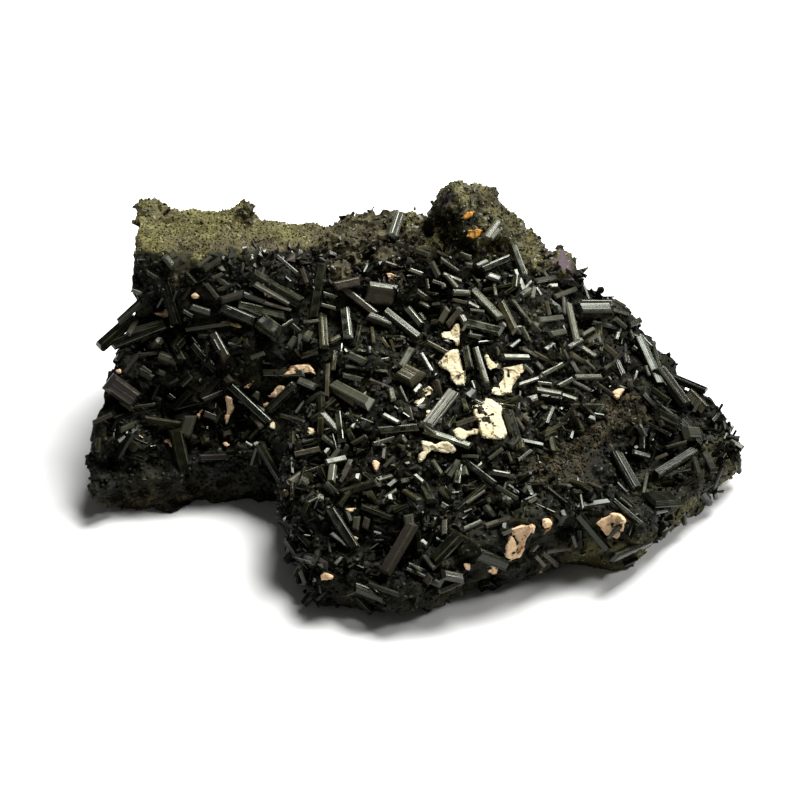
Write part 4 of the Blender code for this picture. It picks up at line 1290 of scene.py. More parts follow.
def shard_shapes():
    """Flat splinters with sharp corners."""
    meshes = []
    for number in range(6):
        picker = random.Random(90 + number)
        bm = bmesh.new()
        for _ in range(9):
            way = Vector((picker.gauss(0, 1), picker.gauss(0, 1), picker.gauss(0, 1))).normalized()
            bm.verts.new(Vector((way.x * 0.5, way.y * 0.3, way.z * 0.5)) * MM)
        bmesh.ops.convex_hull(bm, input=bm.verts)
        meshes.append(mesh_from(bm, f"shard_shape_{number}"))
    return shape_collection("shard_shapes", meshes)


def sliver_shapes():
    """Plain six-sided slivers with slanted ends."""
    meshes = []
    for number in range(5):
        picker = random.Random(110 + number)
        bm = bmesh.new()
        rings = []
        for end in (-0.5, 0.5):
            lean = picker.uniform(-0.5, 0.5)
            ring = []
            for x, y in ((0.5, 0.0), (0.3, 0.4), (-0.3, 0.4), (-0.5, 0.0), (-0.3, -0.4), (0.3, -0.4)):
                ring.append(bm.verts.new(Vector((x, y, end * SHAPE_LENGTH + lean * x)) * MM))
            rings.append(ring)
        bm.faces.new(rings[0][::-1])
        bm.faces.new(rings[1])
        for side in range(6):
            bm.faces.new((rings[0][side - 1], rings[0][side], rings[1][side], rings[1][side - 1]))
        meshes.append(mesh_from(bm, f"sliver_shape_{number}"))
    return shape_collection("sliver_shapes", meshes)


def scattered(name, surface, growth, shapes, material, values):
    """A plain mesh of shapes scattered over a surface where growth says, from the tree above."""
    mesh = surface.copy()
    give_attribute(mesh, "growth", growth)
    obj = add_object(name, mesh)
    scatter = obj.modifiers.new("scatter", "NODES")
    scatter.node_group = scatter_tree()
    values = {"Shapes": shapes, "Material": material, **values}
    for item in scatter.node_group.interface.items_tree:
        if item.in_out == "INPUT" and item.name in values:
            scatter[item.identifier] = values[item.name]
    return applied(obj)


def keep_chunks(obj, chunk, keep):
    """Deletes the scattered shapes that keep, given the corner points of all in millimetres, says no to."""
    mesh = obj.data
    co = np.empty(len(mesh.vertices) * 3, np.float32)
    mesh.vertices.foreach_get("co", co)
    kept = keep(co.reshape(-1, chunk, 3) / MM)
    bm = bmesh.new()
    bm.from_mesh(mesh)
    bm.verts.ensure_lookup_table()
    doomed = []
    for number, stays in enumerate(kept):
        if not stays:
            doomed += [bm.verts[number * chunk + k] for k in range(chunk)]
    bmesh.ops.delete(bm, geom=doomed, context="VERTS")
    bm.to_mesh(mesh)
    bm.free()


# The coat of small crystals: how near a listed crystal they may come, in pixels across and in metres of depth

STROKE_MARGIN = 1.5
STROKE_DEPTH = 0.0012


def photo_pixels(points):
    """Pixels of the photograph, and distances from its camera, of points in millimetres."""
    from_camera = points * MM - np.array(CAMERA_PLACE)
    depth = -(from_camera @ np.array(CAMERA_BACK))
    scale = PHOTO_SIZE * CAMERA_LENS / CAMERA_SENSOR / depth
    x = PHOTO_SIZE / 2 + (from_camera @ np.array(CAMERA_RIGHT)) * scale
    y = PHOTO_SIZE / 2 - (from_camera @ np.array(CAMERA_UP)) * scale
    return np.stack((x, y), axis=-1), np.linalg.norm(from_camera, axis=-1)


def listed_strokes(tree):
    """What the small crystals mustn't hide: strokes' end pixels, half widths in pixels and distances."""
    pixels, halves, distances = [], [], []
    places = [marked_place(tree, row) for row in LARGE_CRYSTALS + MARKED_CRYSTALS]
    places += [seen_place(tree, row) for row in SEEN_CRYSTALS]
    for place, length, width, _ in places:
        half = place.to_3x3() @ Vector((0.0, 0.0, length / 2))
        middle = place.translation / MM
        ends, away = photo_pixels(np.array((middle - half, middle + half)))
        pixels.append(ends)
        halves.append(width / 2 * PIXELS_PER_MM)
        distances.append(away.max())
    for a, b in zip(GRIT_LINE, GRIT_LINE[1:]):
        pixels.append(np.array((a, b), dtype=float))
        halves.append(GRIT_MARGIN)
        distances.append(seen_or_level(tree, *a, CAMERA_DISTANCE)[2])
    pale = [outline for outlines in PALE_OUTLINES for outline in outlines]
    for outline in pale + list(CREAM_BITS + TAN_BITS + OCHRE_BITS):
        middle = np.mean(outline, axis=0)
        level = seen_or_level(tree, *middle, CAMERA_DISTANCE)[2]
        for corner in outline:
            pixels.append(np.array((middle, corner), dtype=float))
            halves.append(PALE_MARGIN)
            distances.append(level)
    return np.array(pixels), np.array(halves), np.array(distances)


def hides_listed(samples, strokes):
    """Whether a shape's sample points cover a listed crystal as the photograph's camera sees it."""
    pixels, halves, depths = strokes
    seen, distance = photo_pixels(samples)
    start, side = pixels[:, 0], pixels[:, 1] - pixels[:, 0]
    gap = seen[:, :, None, :] - start
    share = np.clip((gap * side).sum(-1) / (side**2).sum(-1), 0.0, 1.0)
    apart = np.linalg.norm(gap - share[..., None] * side, axis=-1)
    covers = (apart < halves + STROKE_MARGIN) & (distance[..., None] < depths + STROKE_DEPTH)
    return covers.any(axis=(1, 2))


COAT_PIECES = (
    ("coat_left", 21, (-70.0, -18.0), (3.5, 10.5), (0.9, 2.2)),
    ("coat_middle_left", 22, (-18.0, 4.0), (3.0, 8.5), (0.7, 1.8)),
    ("coat_middle_right", 23, (4.0, 27.0), (3.0, 8.0), (0.7, 1.7)),
    ("coat_right", 24, (27.0, 75.0), (3.0, 9.0), (0.8, 1.9)),
)


def on_ledge(point):
    """Whether a point is on the dark granular ledge at the left foot, where few crystals grow."""
    return point.x < -22.5 and point.z < 10.5 + noise.noise(point / 7.0) * 3.0


def small_coat_at(point, normal):
    """How thickly the small prisms grow at a point of the form."""
    shelf = point.y > SHELF_FRONT + 1.0 and point.x < -9.0 and point.z > SHELF_FLOOR
    saddle = point.y > 21.0 and -12.0 <= point.x < 4.0
    knob = point.z > 41.0 and point.x > 2.0 or on_knob(point) > 0.3
    behind = normal.y > 0.45 or point.y > 33.0
    foot = point.z < 1.5 or normal.z < -0.25 or on_ledge(point)
    left_end = point.x < -50.0 and normal.x < -0.8
    return 0.0 if shelf or saddle or knob or behind or foot or left_end else 1.0


def coat_is_within(corners):
    """Whether a prism stays inside the outline, and lower the nearer it is to the rim."""
    for corner in corners[:: PRISM_CORNERS // 4]:
        point = Vector(corner)
        inside = reach(math.atan2(point.y, point.x)) - math.hypot(point.x, point.y)
        if not within_rim(point, -0.3, min(3.6, 1.4 + 0.2 * inside)):
            return False
    return True


def make_coat(settings):
    form = rock_form()
    tree = tree_of(form)
    line = grit_line(tree)
    strokes = listed_strokes(tree)
    finish = crystal_finish("small_crystal_faces", settings.dust)
    shapes = prism_shapes()
    share = np.linspace(0.0, 1.0, STROKE_SAMPLES)[None, :, None]
    half = PRISM_CORNERS // 2

    def stays(prisms):
        low, high = prisms[:, :half].mean(axis=1), prisms[:, half:].mean(axis=1)
        samples = low[:, None] * (1 - share) + high[:, None] * share
        hides = hides_listed(samples, strokes)
        return [not hidden and coat_is_within(corners) for hidden, corners in zip(hides, prisms)]

    places = [(vert.co / MM, vert.normal.copy()) for vert in form.vertices]
    bare = spots_on(tree)
    bare = bare["plum"] + bare["lump"] + bare["hollow"] + bare["boss"] + bare["bare"]
    thick = []
    for point, normal in places:
        free = (1.0 - gritty_at(point, line)) * (1.0 - spot_at(point, bare))
        thick.append(small_coat_at(point, normal) * free)
    for name, seed, (west, east), lengths, widths in COAT_PIECES:
        growth = [here if west <= point.x < east else 0.0 for (point, _), here in zip(places, thick)]
        piece = scattered(name, form, growth, shapes, finish, {
            "Seed": seed, "Spacing": settings.spacing, "Density": settings.density,
            "Lift min": settings.lowest, "Lift max": settings.lift,
            "Tilt min": -0.35, "Tilt max": 0.95, "Roll": 1.2,
            "Length min": lengths[0] / SHAPE_LENGTH, "Length max": lengths[1] / SHAPE_LENGTH,
            "Width min": widths[0], "Width max": widths[1], "Tone min": 0.0, "Tone max": 1.0,
        })
        keep_chunks(piece, PRISM_CORNERS, stays)
        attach(piece, "root")
    drop_collection(shapes)


# Pale mineral, by its outlines in pixels of the photograph: one group for each lump of the solid part

PALE_OUTLINES = (
    (
        (
            (452, 349), (457, 350), (461, 358), (464, 368), (466, 378), (465, 387), (457, 388),
            (451, 382), (450, 373), (441, 368), (438, 364), (442, 359), (446, 353),
        ),
        (
            (441, 338), (440, 334), (446, 331), (451, 330), (456, 323), (460, 323), (460, 340), (458, 346),
            (453, 341),
        ),
    ),
    (
        (
            (502, 368), (510, 366), (517, 363), (524, 362), (528, 366), (525, 372), (519, 375), (515, 382),
            (513, 389), (509, 395), (502, 398), (494, 397), (489, 394), (493, 389), (499, 391), (498, 384),
            (502, 380), (503, 374),
        ),
        ((484, 355), (487, 354), (490, 360), (498, 364), (499, 368), (490, 372), (487, 368)),
    ),
    (
        (
            (472, 404), (478, 400), (486, 398), (492, 398), (498, 403), (504, 404), (505, 409), (502, 416),
            (505, 425), (508, 435), (505, 440), (497, 442), (490, 440), (481, 439), (479, 430), (477, 422),
            (473, 414),
        ),
        ((452, 431), (458, 427), (466, 431), (478, 429), (479, 434), (468, 436), (464, 440), (458, 440)),
    ),
    (
        (
            (421, 440), (428, 443), (436, 445), (441, 442), (448, 441), (455, 444), (459, 450), (455, 453),
            (448, 454), (440, 452), (432, 450), (427, 455), (421, 460), (418, 463), (418, 456), (423, 452),
            (421, 446),
        ),
    ),
    (
        (
            (511, 528), (520, 526), (529, 523), (534, 525), (533, 532), (527, 540), (524, 550), (519, 558),
            (509, 562), (505, 556), (505, 547), (510, 537),
        ),
    ),
    (
        (
            (595, 523), (602, 518), (612, 513), (619, 513), (626, 520), (623, 530), (618, 540), (611, 537),
            (606, 536), (601, 530),
        ),
    ),
    (
        (
            (281, 375), (290, 367), (303, 364), (309, 363), (314, 369), (317, 375), (312, 373), (303, 374),
            (290, 375),
        ),
    ),
    (((226, 395), (231, 398), (233, 405), (236, 409), (231, 416), (226, 426), (225, 418), (226, 408)),),
)
FIRST_TAN_LUMP = 5
CREAM_BITS = (
    ((422, 391), (428, 386), (433, 390), (432, 396), (425, 396)),
    ((414, 403), (421, 396), (427, 396), (424, 402), (419, 406)),
    ((426, 411), (431, 411), (431, 421), (428, 422)), ((424, 429), (430, 427), (431, 432), (426, 432)),
    ((307, 427), (314, 428), (315, 434), (309, 435)), ((350, 538), (354, 536), (359, 538), (355, 544)),
    ((269, 422), (274, 421), (275, 429), (271, 430)),
)
TAN_BITS = (
    ((265, 396), (273, 394), (279, 386), (285, 386), (287, 390), (279, 398), (270, 398)),
    ((262, 404), (272, 403), (279, 400), (276, 406), (271, 412), (267, 410)),
    ((213, 408), (215, 402), (218, 402), (217, 410)),
    ((196, 415), (199, 410), (204, 408), (201, 414), (199, 420)),
    ((162, 442), (170, 440), (174, 436), (175, 447), (171, 448), (168, 443)),
    ((139, 435), (145, 437), (142, 440)), ((243, 388), (250, 383), (255, 380), (251, 388)),
    ((222, 443), (227, 442), (230, 445), (226, 448)), ((375, 460), (380, 463), (376, 472), (372, 463)),
    ((320, 576), (324, 573), (333, 577), (327, 580), (322, 580)),
    ((191, 296), (195, 293), (199, 296), (196, 299)),
    ((152, 313), (163, 313), (166, 310), (167, 316), (160, 315)),
    ((169, 326), (173, 324), (175, 327), (171, 329)),
    ((345, 509), (351, 508), (357, 508), (351, 513)), ((464, 564), (470, 563), (470, 571), (466, 570)),
    ((484, 565), (497, 566), (496, 573), (488, 571)), ((541, 520), (548, 519), (552, 524), (545, 528)),
    ((218, 322), (228, 320), (236, 323), (243, 327), (238, 328), (228, 325)),
    ((264, 293), (270, 291), (271, 297), (266, 298)), ((115, 370), (120, 369), (121, 373), (117, 373)),
    ((384, 272), (391, 272), (398, 277), (394, 282), (387, 278)),
    ((611, 395), (618, 389), (625, 389), (620, 395), (617, 399)),
)
OCHRE_BITS = (
    ((465, 237), (467, 230), (477, 228), (483, 230), (481, 236), (473, 240)),
    ((460, 218), (467, 212), (477, 210), (472, 215), (465, 219)),
)
PALE_MARGIN = 3.0
PALE_CHAMFER = 0.12
BITS_LIFT_SHARE = 0.65
PALE_PIT_SPACING = 3.4
PALE_PIT_DEPTH = 0.25
CREAM = ((0.70, 0.62, 0.41), (0.46, 0.35, 0.17))
TAN = ((0.66, 0.47, 0.29), (0.42, 0.25, 0.12))
OCHRE = ((0.46, 0.22, 0.04), (0.28, 0.15, 0.05))


def crust_mesh(tree, outlines, settings, seed, lift_share=1.0):
    """A crust of pale mineral on the rock, of given outlines: melted together, then worn and pitted."""
    bm = bmesh.new()
    for outline in outlines:
        rings = []
        middle = np.mean(outline, axis=0)
        for lift, inset in ((settings.pale_lift * lift_share, PALE_CHAMFER), (-settings.pale_depth, 0.0)):
            ring = []
            for corner in outline:
                x, y = corner + (middle - corner) * inset
                point, _, _ = seen_or_level(tree, x, y, CAMERA_DISTANCE)
                ring.append(bm.verts.new(point * MM - photo_ray(x, y)[1] * lift))
            rings.append(ring)
        top, foot = rings
        caps = [bm.faces.new(top), bm.faces.new(foot[::-1])]
        for number in range(len(top)):
            bm.faces.new((top[number - 1], foot[number - 1], foot[number], top[number]))
        bmesh.ops.triangulate(bm, faces=caps)
    bmesh.ops.recalc_face_normals(bm, faces=bm.faces)
    crust = add_object("crust_blank", mesh_from(bm, "crust_blank"))
    evened(crust, settings.pale_voxel / MM)
    mesh = crust.data
    bpy.data.objects.remove(crust)
    bm = bmesh.new()
    bm.from_mesh(mesh)
    bmesh.ops.smooth_vert(bm, verts=bm.verts, factor=0.5, use_axis_x=True, use_axis_y=True, use_axis_z=True)
    bm.to_mesh(mesh)
    bm.free()
    hollows = []
    shift = Vector((seed * 3.7, seed * 1.3, seed * 5.1))
    normals = [vert.normal.copy() for vert in mesh.vertices]
    for vert, normal in zip(mesh.vertices, normals):
        point = vert.co / MM + shift
        near = noise.voronoi(point / PALE_PIT_SPACING)[0][0]
        pit = 1.0 - smooth_step(near, 0.05, 0.11)
        wear = facet_rise(point, 3.2, 0.30) + facet_rise(point, 1.3, 0.10) + noise.noise(point / 0.5) * 0.05
        vert.co += normal * (wear - pit * PALE_PIT_DEPTH) * MM
        hollows.append(pit)
    give_attribute(mesh, "hollow", hollows)
    return mesh


def make_pale_mineral(settings):
    tree = tree_of(rock_form())
    cream = pale_finish("cream_mineral", *CREAM)
    tan = pale_finish("tan_mineral", *TAN)
    ochre = pale_finish("ochre_mineral", *OCHRE)
    for number, outlines in enumerate(PALE_OUTLINES, 1):
        mesh = crust_mesh(tree, outlines, settings, number)
        piece = add_object(f"pale_lump_{number:02d}", mesh, tan if number >= FIRST_TAN_LUMP else cream)
        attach(piece, "root")
        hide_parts(f"pale_patch_{number:02d}")
    for name, outlines, finish in (
        ("cream_bits", CREAM_BITS, cream), ("tan_bits", TAN_BITS, tan), ("ochre_bits", OCHRE_BITS, ochre),
    ):
        piece = add_object(name, crust_mesh(tree, outlines, settings, len(name), BITS_LIFT_SHARE), finish)
        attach(piece, "root")


# Grains, crumbs, shards, chips and slivers

SUGAR_TONES = (
    (0.0, (0.050, 0.045, 0.015)), (0.25, (0.090, 0.082, 0.027)), (0.55, (0.125, 0.114, 0.038)),
    (0.80, (0.225, 0.208, 0.090)), (1.0, (0.55, 0.52, 0.34)),
)
GRIT_TONES = (
    (0.0, (0.006, 0.005, 0.002)), (0.4, (0.016, 0.013, 0.005)), (0.85, (0.042, 0.034, 0.014)),
    (1.0, (0.18, 0.09, 0.025)),
)
# Crumb colours: the rock's own dark grains, made darker still as painted shade in the gaps between the
# prisms.
CRUMB_AND_GAP_SHADE_TONES = (
    (0.0, (0.0010, 0.0011, 0.0007)), (0.50, (0.0038, 0.0040, 0.0019)), (0.78, (0.0160, 0.0160, 0.0065)),
    (0.93, (0.050, 0.050, 0.020)), (1.0, (0.14, 0.135, 0.070)),
)
SLIVER_LENGTH = (1.5, 4.5)
SLIVER_WIDTH = (0.35, 0.9)
SLIVER_CORNERS = 12
GRAIN_CORNERS = 12
LOWEST_CRUMB = -0.2
GRAIN_DENSITY = 4.0e6
COAT_MIDDLE = Vector((14.0, -8.0, 26.0))
CHIP_TONES = (
    (0.0, (0.008, 0.008, 0.004)), (0.35, (0.034, 0.033, 0.018)), (0.65, (0.085, 0.081, 0.048)),
    (0.90, (0.150, 0.142, 0.092)), (1.0, (0.34, 0.32, 0.25)),
)
SHARD_TONES = (
    (0.0, (0.003, 0.003, 0.002)), (0.35, (0.012, 0.012, 0.008)), (0.60, (0.040, 0.038, 0.022)),
    (0.80, (0.075, 0.062, 0.048)), (1.0, (0.20, 0.19, 0.15)),
)


def shards_at(point, normal):
    """How thickly shards lie: along the shelf's edge, and thinly on the saddle, the knob and the middle."""
    if normal.y > 0.6 or normal.z < 0.0:
        return 0.0
    from_edge = abs(point.y - shelf_edge(point.x) + 4.0)
    edge = smooth_step(point.x, -38.0, -30.0) * (1.0 - smooth_step(from_edge, 4.0, 6.5))
    edge *= smooth_step(point.z, 31.0, 34.0) * (1.0 - smooth_step(point.x, 0.0, 4.0))
    saddle = smooth_step(point.x, -18.0, -12.0) * (1.0 - smooth_step(point.x, 4.0, 8.0))
    saddle *= smooth_step(point.y, 18.0, 22.0) * 0.2
    knob = on_knob(point) * 0.15
    middle = 0.35 * (1.0 - smooth_step((point - COAT_MIDDLE).length, 14.0, 30.0))
    return max(edge, saddle, knob, middle)


def on_saddle(point):
    return -20.0 < point.x < 2.0 and point.y > 22.0 and point.z > 33.0


def marks_of(mesh, name):
    """The values that the rock keeps under a name, one for each vertex."""
    values = np.empty(len(mesh.vertices), np.float32)
    mesh.attributes[name].data.foreach_get("value", values)
    return values


def sliver_is_within(corners):
    """Whether a sliver stays inside the outline, above the ground and low over the rock."""
    return all(within_rim(Vector(corner), 0.3, 1.6) for corner in (corners[0], corners[6], corners[9]))


def make_grains(settings):
    rock = bpy.data.objects["rock"].data
    places = [(vert.co / MM, vert.normal.copy()) for vert in rock.vertices]
    east = np.array([point.x for point, _ in places]) > 0.0
    names = ("sugary", "gritty", "plum", "lump", "boss", "bare", "hollow")
    sugary, gritty, plum, lump, boss, bare, hollow = (marks_of(rock, name) for name in names)
    saddle = np.array([on_saddle(point) for point, _ in places]) * 0.5
    coated = np.array([small_coat_at(*place) for place in places])
    shards = np.array([shards_at(*place) for place in places])
    shards = shards * (1.0 - plum) * (1.0 - lump)
    ledge = np.array([on_ledge(point) and normal.y < 0.45 for point, normal in places])
    crumbs = np.maximum(np.maximum(coated, shards * 0.6), ledge)
    crumbs = crumbs * (1.0 - sugary) * (1.0 - gritty) * (1.0 - plum) * (1.0 - bare) * (1.0 - boss)
    rough = np.array([on_knob(point) for point, _ in places])
    rough = np.maximum(np.maximum(rough, lump), saddle) * (1.0 - boss) * (1.0 - plum) * (1.0 - hollow)
    lying = {
        "Tilt min": -1.5, "Tilt max": 1.5, "Roll": 3.1, "Tone min": 0.0, "Tone max": 1.0,
        "Density": GRAIN_DENSITY,
    }
    crumb_values = {"Spacing": settings.crumb_spacing, "Lift min": -0.3 * MM, "Lift max": 0.15 * MM}
    fine_values = {"Spacing": settings.grain_spacing, "Lift min": -0.1 * MM, "Lift max": 0.1 * MM}
    shard_values = {"Spacing": settings.shard_spacing, "Lift min": -0.2 * MM, "Lift max": 0.4 * MM}
    chip_values = {"Spacing": settings.chip_spacing, "Lift min": -0.35 * MM, "Lift max": 0.0}
    sliver_values = {
        "Spacing": settings.sliver_spacing, "Lift min": 0.1 * MM, "Lift max": 0.9 * MM, "Tilt min": -0.7,
        "Tilt max": 0.9,
    }
    crumb = grain_finish("dark_crumbs", CRUMB_AND_GAP_SHADE_TONES, 0.5, 0.12)
    sugar = grain_finish("sugary_grains", SUGAR_TONES, 0.6, 0.15, SHELF_BROWN)
    grit = grain_finish("gritty_grains", GRIT_TONES, 0.6, 0.15)
    shard = grain_finish("broken_shards", SHARD_TONES, 0.30, 0.4, SHARD_BROWN)
    chip = grain_finish("rough_chips", CHIP_TONES, 0.4, 0.25, SHELF_BROWN)
    sliver = crystal_finish("sliver_faces", settings.dust)
    grain_set, shard_set, sliver_set = grain_shapes(), shard_shapes(), sliver_shapes()
    slim = tuple(length / SHAPE_LENGTH for length in SLIVER_LENGTH)
    strokes = listed_strokes(tree_of(rock_form()))
    slivers = coated * (1.0 - gritty) * (1.0 - plum) * (1.0 - bare) * (1.0 - boss)

    def stays(pieces):
        hides = hides_listed(pieces[:, ::3], strokes)
        return [not hidden and sliver_is_within(corners) for hidden, corners in zip(hides, pieces)]

    for name, seed, growth, shapes, finish, values, lengths, widths in (
        ("crumbs_left", 33, crumbs * ~east, grain_set, crumb, crumb_values, (0.5, 1.7), (0.4, 1.2)),
        ("crumbs_right", 34, crumbs * east, grain_set, crumb, crumb_values, (0.5, 1.7), (0.4, 1.2)),
        ("shelf_grains", 31, sugary, grain_set, sugar, fine_values, (0.3, 1.1), (0.25, 0.6)),
        ("hollow_grains", 32, gritty**2, grain_set, grit, fine_values, (0.35, 1.0), (0.35, 0.9)),
        ("shards", 35, shards, shard_set, shard, shard_values, (1.0, 3.6), (0.9, 2.8)),
        ("rough_chips", 36, rough, shard_set, chip, chip_values, (0.8, 2.2), (0.7, 1.8)),
        ("slivers_left", 37, slivers * ~east, sliver_set, sliver, sliver_values, slim, SLIVER_WIDTH),
        ("slivers_right", 38, slivers * east, sliver_set, sliver, sliver_values, slim, SLIVER_WIDTH),
    ):
        piece = scattered(name, rock, growth, shapes, finish, {
            "Seed": seed, **lying, **values, "Length min": lengths[0], "Length max": lengths[1],
            "Width min": widths[0], "Width max": widths[1],
        })
        if shapes is sliver_set:
            keep_chunks(piece, SLIVER_CORNERS, stays)
        elif shapes is grain_set:
            keep_chunks(piece, GRAIN_CORNERS, lambda grains: grains[:, :, 2].min(axis=1) > LOWEST_CRUMB)
        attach(piece, "root")
    for collection in (grain_set, shard_set, sliver_set):
        drop_collection(collection)


# Stage: the place of each soft light and its size, in metres

KEY_LIGHT = ((0.22, 0.26, 0.62), (0.40, 0.40))
SIDE_LIGHT = ((0.55, 0.02, 0.35), (0.10, 0.10))
SIDE_SHARE = 0.14
ROOM_COLOUR = (1.0, 0.985, 0.94, 1.0)
FLOOR_PATCHES = (0.90, 0.90, 0.89)


def make_floor(settings):
    bm = bmesh.new()
    bmesh.ops.create_grid(bm, x_segments=1, y_segments=1, size=3.0)
    material, desk, shader = new_material("pale_floor")
    place = desk.add("ShaderNodeTexCoord").outputs["Object"]
    stops = ((0.3, tuple(settings.floor_colour)), (0.7, FLOOR_PATCHES))
    shade = ramp(desk, noise_at(desk, place, 3.0), stops)
    desk.feed(shade, shader, "Base Color")
    shader.inputs["Roughness"].default_value = 0.9
    floor = add_object("floor", mesh_from(bm, "floor"), material)


def add_soft_light(name, place, size, power):
    data = bpy.data.lights.new(name, "AREA")
    data.shape = "RECTANGLE"
    data.size, data.size_y = size
    data.energy = power
    light = bpy.data.objects.new(name, data)
    bpy.context.scene.collection.objects.link(light)
    light.location = place
    light.rotation_mode = "QUATERNION"
    light.rotation_quaternion = (Vector(place) - CAMERA_TARGET).to_track_quat("Z", "Y")


def make_world(brightness):
    world = bpy.data.worlds.new("studio")
    world.use_nodes = True
    back = world.node_tree.nodes["Background"]
    back.inputs["Color"].default_value = ROOM_COLOUR
    back.inputs["Strength"].default_value = brightness
    bpy.context.scene.world = world


def make_camera():
    data = bpy.data.cameras.new("camera")
    data.sensor_width = CAMERA_SENSOR
    data.lens = CAMERA_LENS
    data.clip_start = 0.01
    camera = bpy.data.objects.new("camera", data)
    bpy.context.scene.collection.objects.link(camera)
    camera.location = CAMERA_PLACE
    camera.rotation_mode = "QUATERNION"
    camera.rotation_quaternion = CAMERA_BACK.to_track_quat("Z", "Y")
    bpy.context.scene.camera = camera


def make_stage(settings):
    make_floor(settings)
    add_soft_light("key_light", *KEY_LIGHT, settings.key_power)
    add_soft_light("side_light", *SIDE_LIGHT, settings.key_power * SIDE_SHARE)
    make_world(settings.world_strength)
    make_camera()
    bpy.context.scene.view_settings.view_transform = "Standard"


# The add-on


class EpidoteSettings(bpy.types.PropertyGroup):
    voxel: FloatProperty(
        name="Rock fineness", description="Face size of the dressed rock", default=0.75 * MM, unit="LENGTH"
    )
    dust: FloatProperty(
        name="Dust", description="How much the crystals' film shows",
        default=0.38, subtype="FACTOR", min=0, max=1,
    )
    spacing: FloatProperty(
        name="Crystal spacing", description="Least distance between small crystals",
        default=1.35 * MM, unit="LENGTH",
    )
    density: FloatProperty(
        name="Crystal density", description="Most small crystals on a square metre", default=1.5e6, min=0
    )
    lowest: FloatProperty(
        name="Deepest crystals", description="Where the lowest small crystals lie",
        default=-0.9 * MM, unit="LENGTH",
    )
    lift: FloatProperty(
        name="Highest crystals", description="Where the highest small crystals lie",
        default=1.5 * MM, unit="LENGTH",
    )
    pale_lift: FloatProperty(
        name="Pale lift", description="How far the pale mineral stands out", default=1.0 * MM, unit="LENGTH"
    )
    pale_depth: FloatProperty(
        name="Pale depth", description="How deep the pale mineral goes into the rock",
        default=1.6 * MM, unit="LENGTH",
    )
    crumb_spacing: FloatProperty(
        name="Crumb spacing", description="Least distance between dark crumbs",
        default=0.95 * MM, unit="LENGTH",
    )
    shard_spacing: FloatProperty(
        name="Shard spacing", description="Least distance between broken shards",
        default=1.4 * MM, unit="LENGTH",
    )
    chip_spacing: FloatProperty(
        name="Chip spacing", description="Least distance between the chips of the knob and the lumps",
        default=0.9 * MM, unit="LENGTH",
    )
    sliver_spacing: FloatProperty(
        name="Sliver spacing", description="Least distance between slivers", default=1.0 * MM, unit="LENGTH"
    )
    pale_voxel: FloatProperty(
        name="Pale fineness", description="Face size of the pale mineral", default=0.22 * MM, unit="LENGTH"
    )
    grain_spacing: FloatProperty(
        name="Grain spacing", description="Least distance between grains", default=0.48 * MM, unit="LENGTH"
    )
    floor_colour: FloatVectorProperty(
        name="Floor", description="Colour of the floor", default=(0.86, 0.86, 0.85), subtype="COLOR", size=3
    )
    key_power: FloatProperty(
        name="Main light", description="Power of the main soft light", default=12.0, unit="POWER"
    )
    world_strength: FloatProperty(
        name="Room light", description="Brightness of the room around the stone", default=0.065, min=0
    )


class MakeOperator:
    """What the operators share: each makes its pieces from the scene's settings."""

    bl_options = {"REGISTER"}

    def execute(self, context):
        type(self).make(context.scene.epidote)
        return {"FINISHED"}


class EPIDOTE_OT_rock(MakeOperator, bpy.types.Operator):
    """Make the broken block of granular epidote"""

    bl_idname = "epidote.rock"
    bl_label = "Rock"
    make = staticmethod(make_rock)


class EPIDOTE_OT_large_crystals(MakeOperator, bpy.types.Operator):
    """Make the large prisms, each in its seat"""

    bl_idname = "epidote.large_crystals"
    bl_label = "Large crystals"
    make = staticmethod(make_large_crystals)


class EPIDOTE_OT_middle_crystals(MakeOperator, bpy.types.Operator):
    """Make the middle-sized prisms that are fused to the rock"""

    bl_idname = "epidote.middle_crystals"
    bl_label = "Middle crystals"
    make = staticmethod(make_middle_crystals)


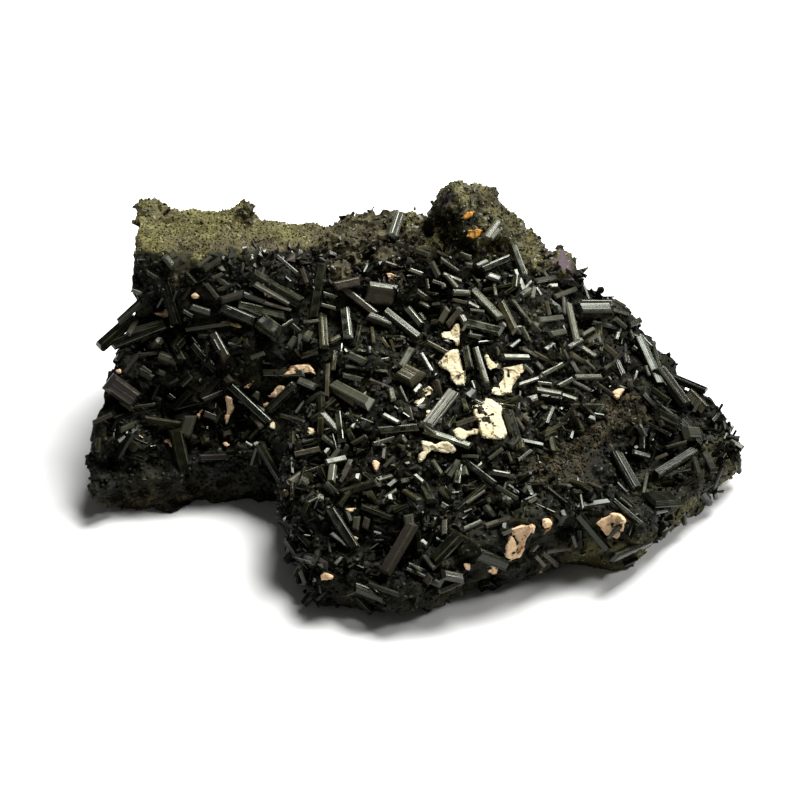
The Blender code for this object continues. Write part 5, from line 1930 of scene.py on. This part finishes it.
class EPIDOTE_OT_seen_crystals(MakeOperator, bpy.types.Operator):
    """Make the smaller prisms that can be told apart in the photograph"""

    bl_idname = "epidote.seen_crystals"
    bl_label = "Seen crystals"
    make = staticmethod(make_seen_crystals)


class EPIDOTE_OT_coat(MakeOperator, bpy.types.Operator):
    """Scatter the coat of small prisms"""

    bl_idname = "epidote.coat"
    bl_label = "Coat of small crystals"
    make = staticmethod(make_coat)


class EPIDOTE_OT_pale_mineral(MakeOperator, bpy.types.Operator):
    """Make the cream, tan and ochre mineral between the crystals"""

    bl_idname = "epidote.pale_mineral"
    bl_label = "Pale mineral"
    make = staticmethod(make_pale_mineral)


class EPIDOTE_OT_grains(MakeOperator, bpy.types.Operator):
    """Scatter the grains, crumbs, shards, chips and slivers over the rock"""

    bl_idname = "epidote.grains"
    bl_label = "Grains"
    make = staticmethod(make_grains)


class EPIDOTE_OT_stage(MakeOperator, bpy.types.Operator):
    """Set the floor, the lights and the camera"""

    bl_idname = "epidote.stage"
    bl_label = "Stage"
    make = staticmethod(make_stage)


OPERATORS = (
    EPIDOTE_OT_rock, EPIDOTE_OT_large_crystals, EPIDOTE_OT_middle_crystals, EPIDOTE_OT_seen_crystals,
    EPIDOTE_OT_coat, EPIDOTE_OT_pale_mineral, EPIDOTE_OT_grains, EPIDOTE_OT_stage,
)


class EPIDOTE_PT_panel(bpy.types.Panel):
    bl_label = "Rough epidote"
    bl_space_type = "VIEW_3D"
    bl_region_type = "UI"
    bl_category = "Epidote"

    def draw(self, context):
        settings = context.scene.epidote
        for name in EpidoteSettings.__annotations__:
            self.layout.prop(settings, name)
        for operator in OPERATORS:
            self.layout.operator(operator.bl_idname)


CLASSES = (EpidoteSettings, *OPERATORS, EPIDOTE_PT_panel)


def register():
    for cls in CLASSES:
        bpy.utils.register_class(cls)
    bpy.types.Scene.epidote = PointerProperty(type=EpidoteSettings)


def unregister():
    del bpy.types.Scene.epidote
    for cls in reversed(CLASSES):
        bpy.utils.unregister_class(cls)


def main():
    register()
    for operator in OPERATORS:
        group, name = operator.bl_idname.split(".")
        getattr(getattr(bpy.ops, group), name)()


if __name__ == "__main__":
    main()
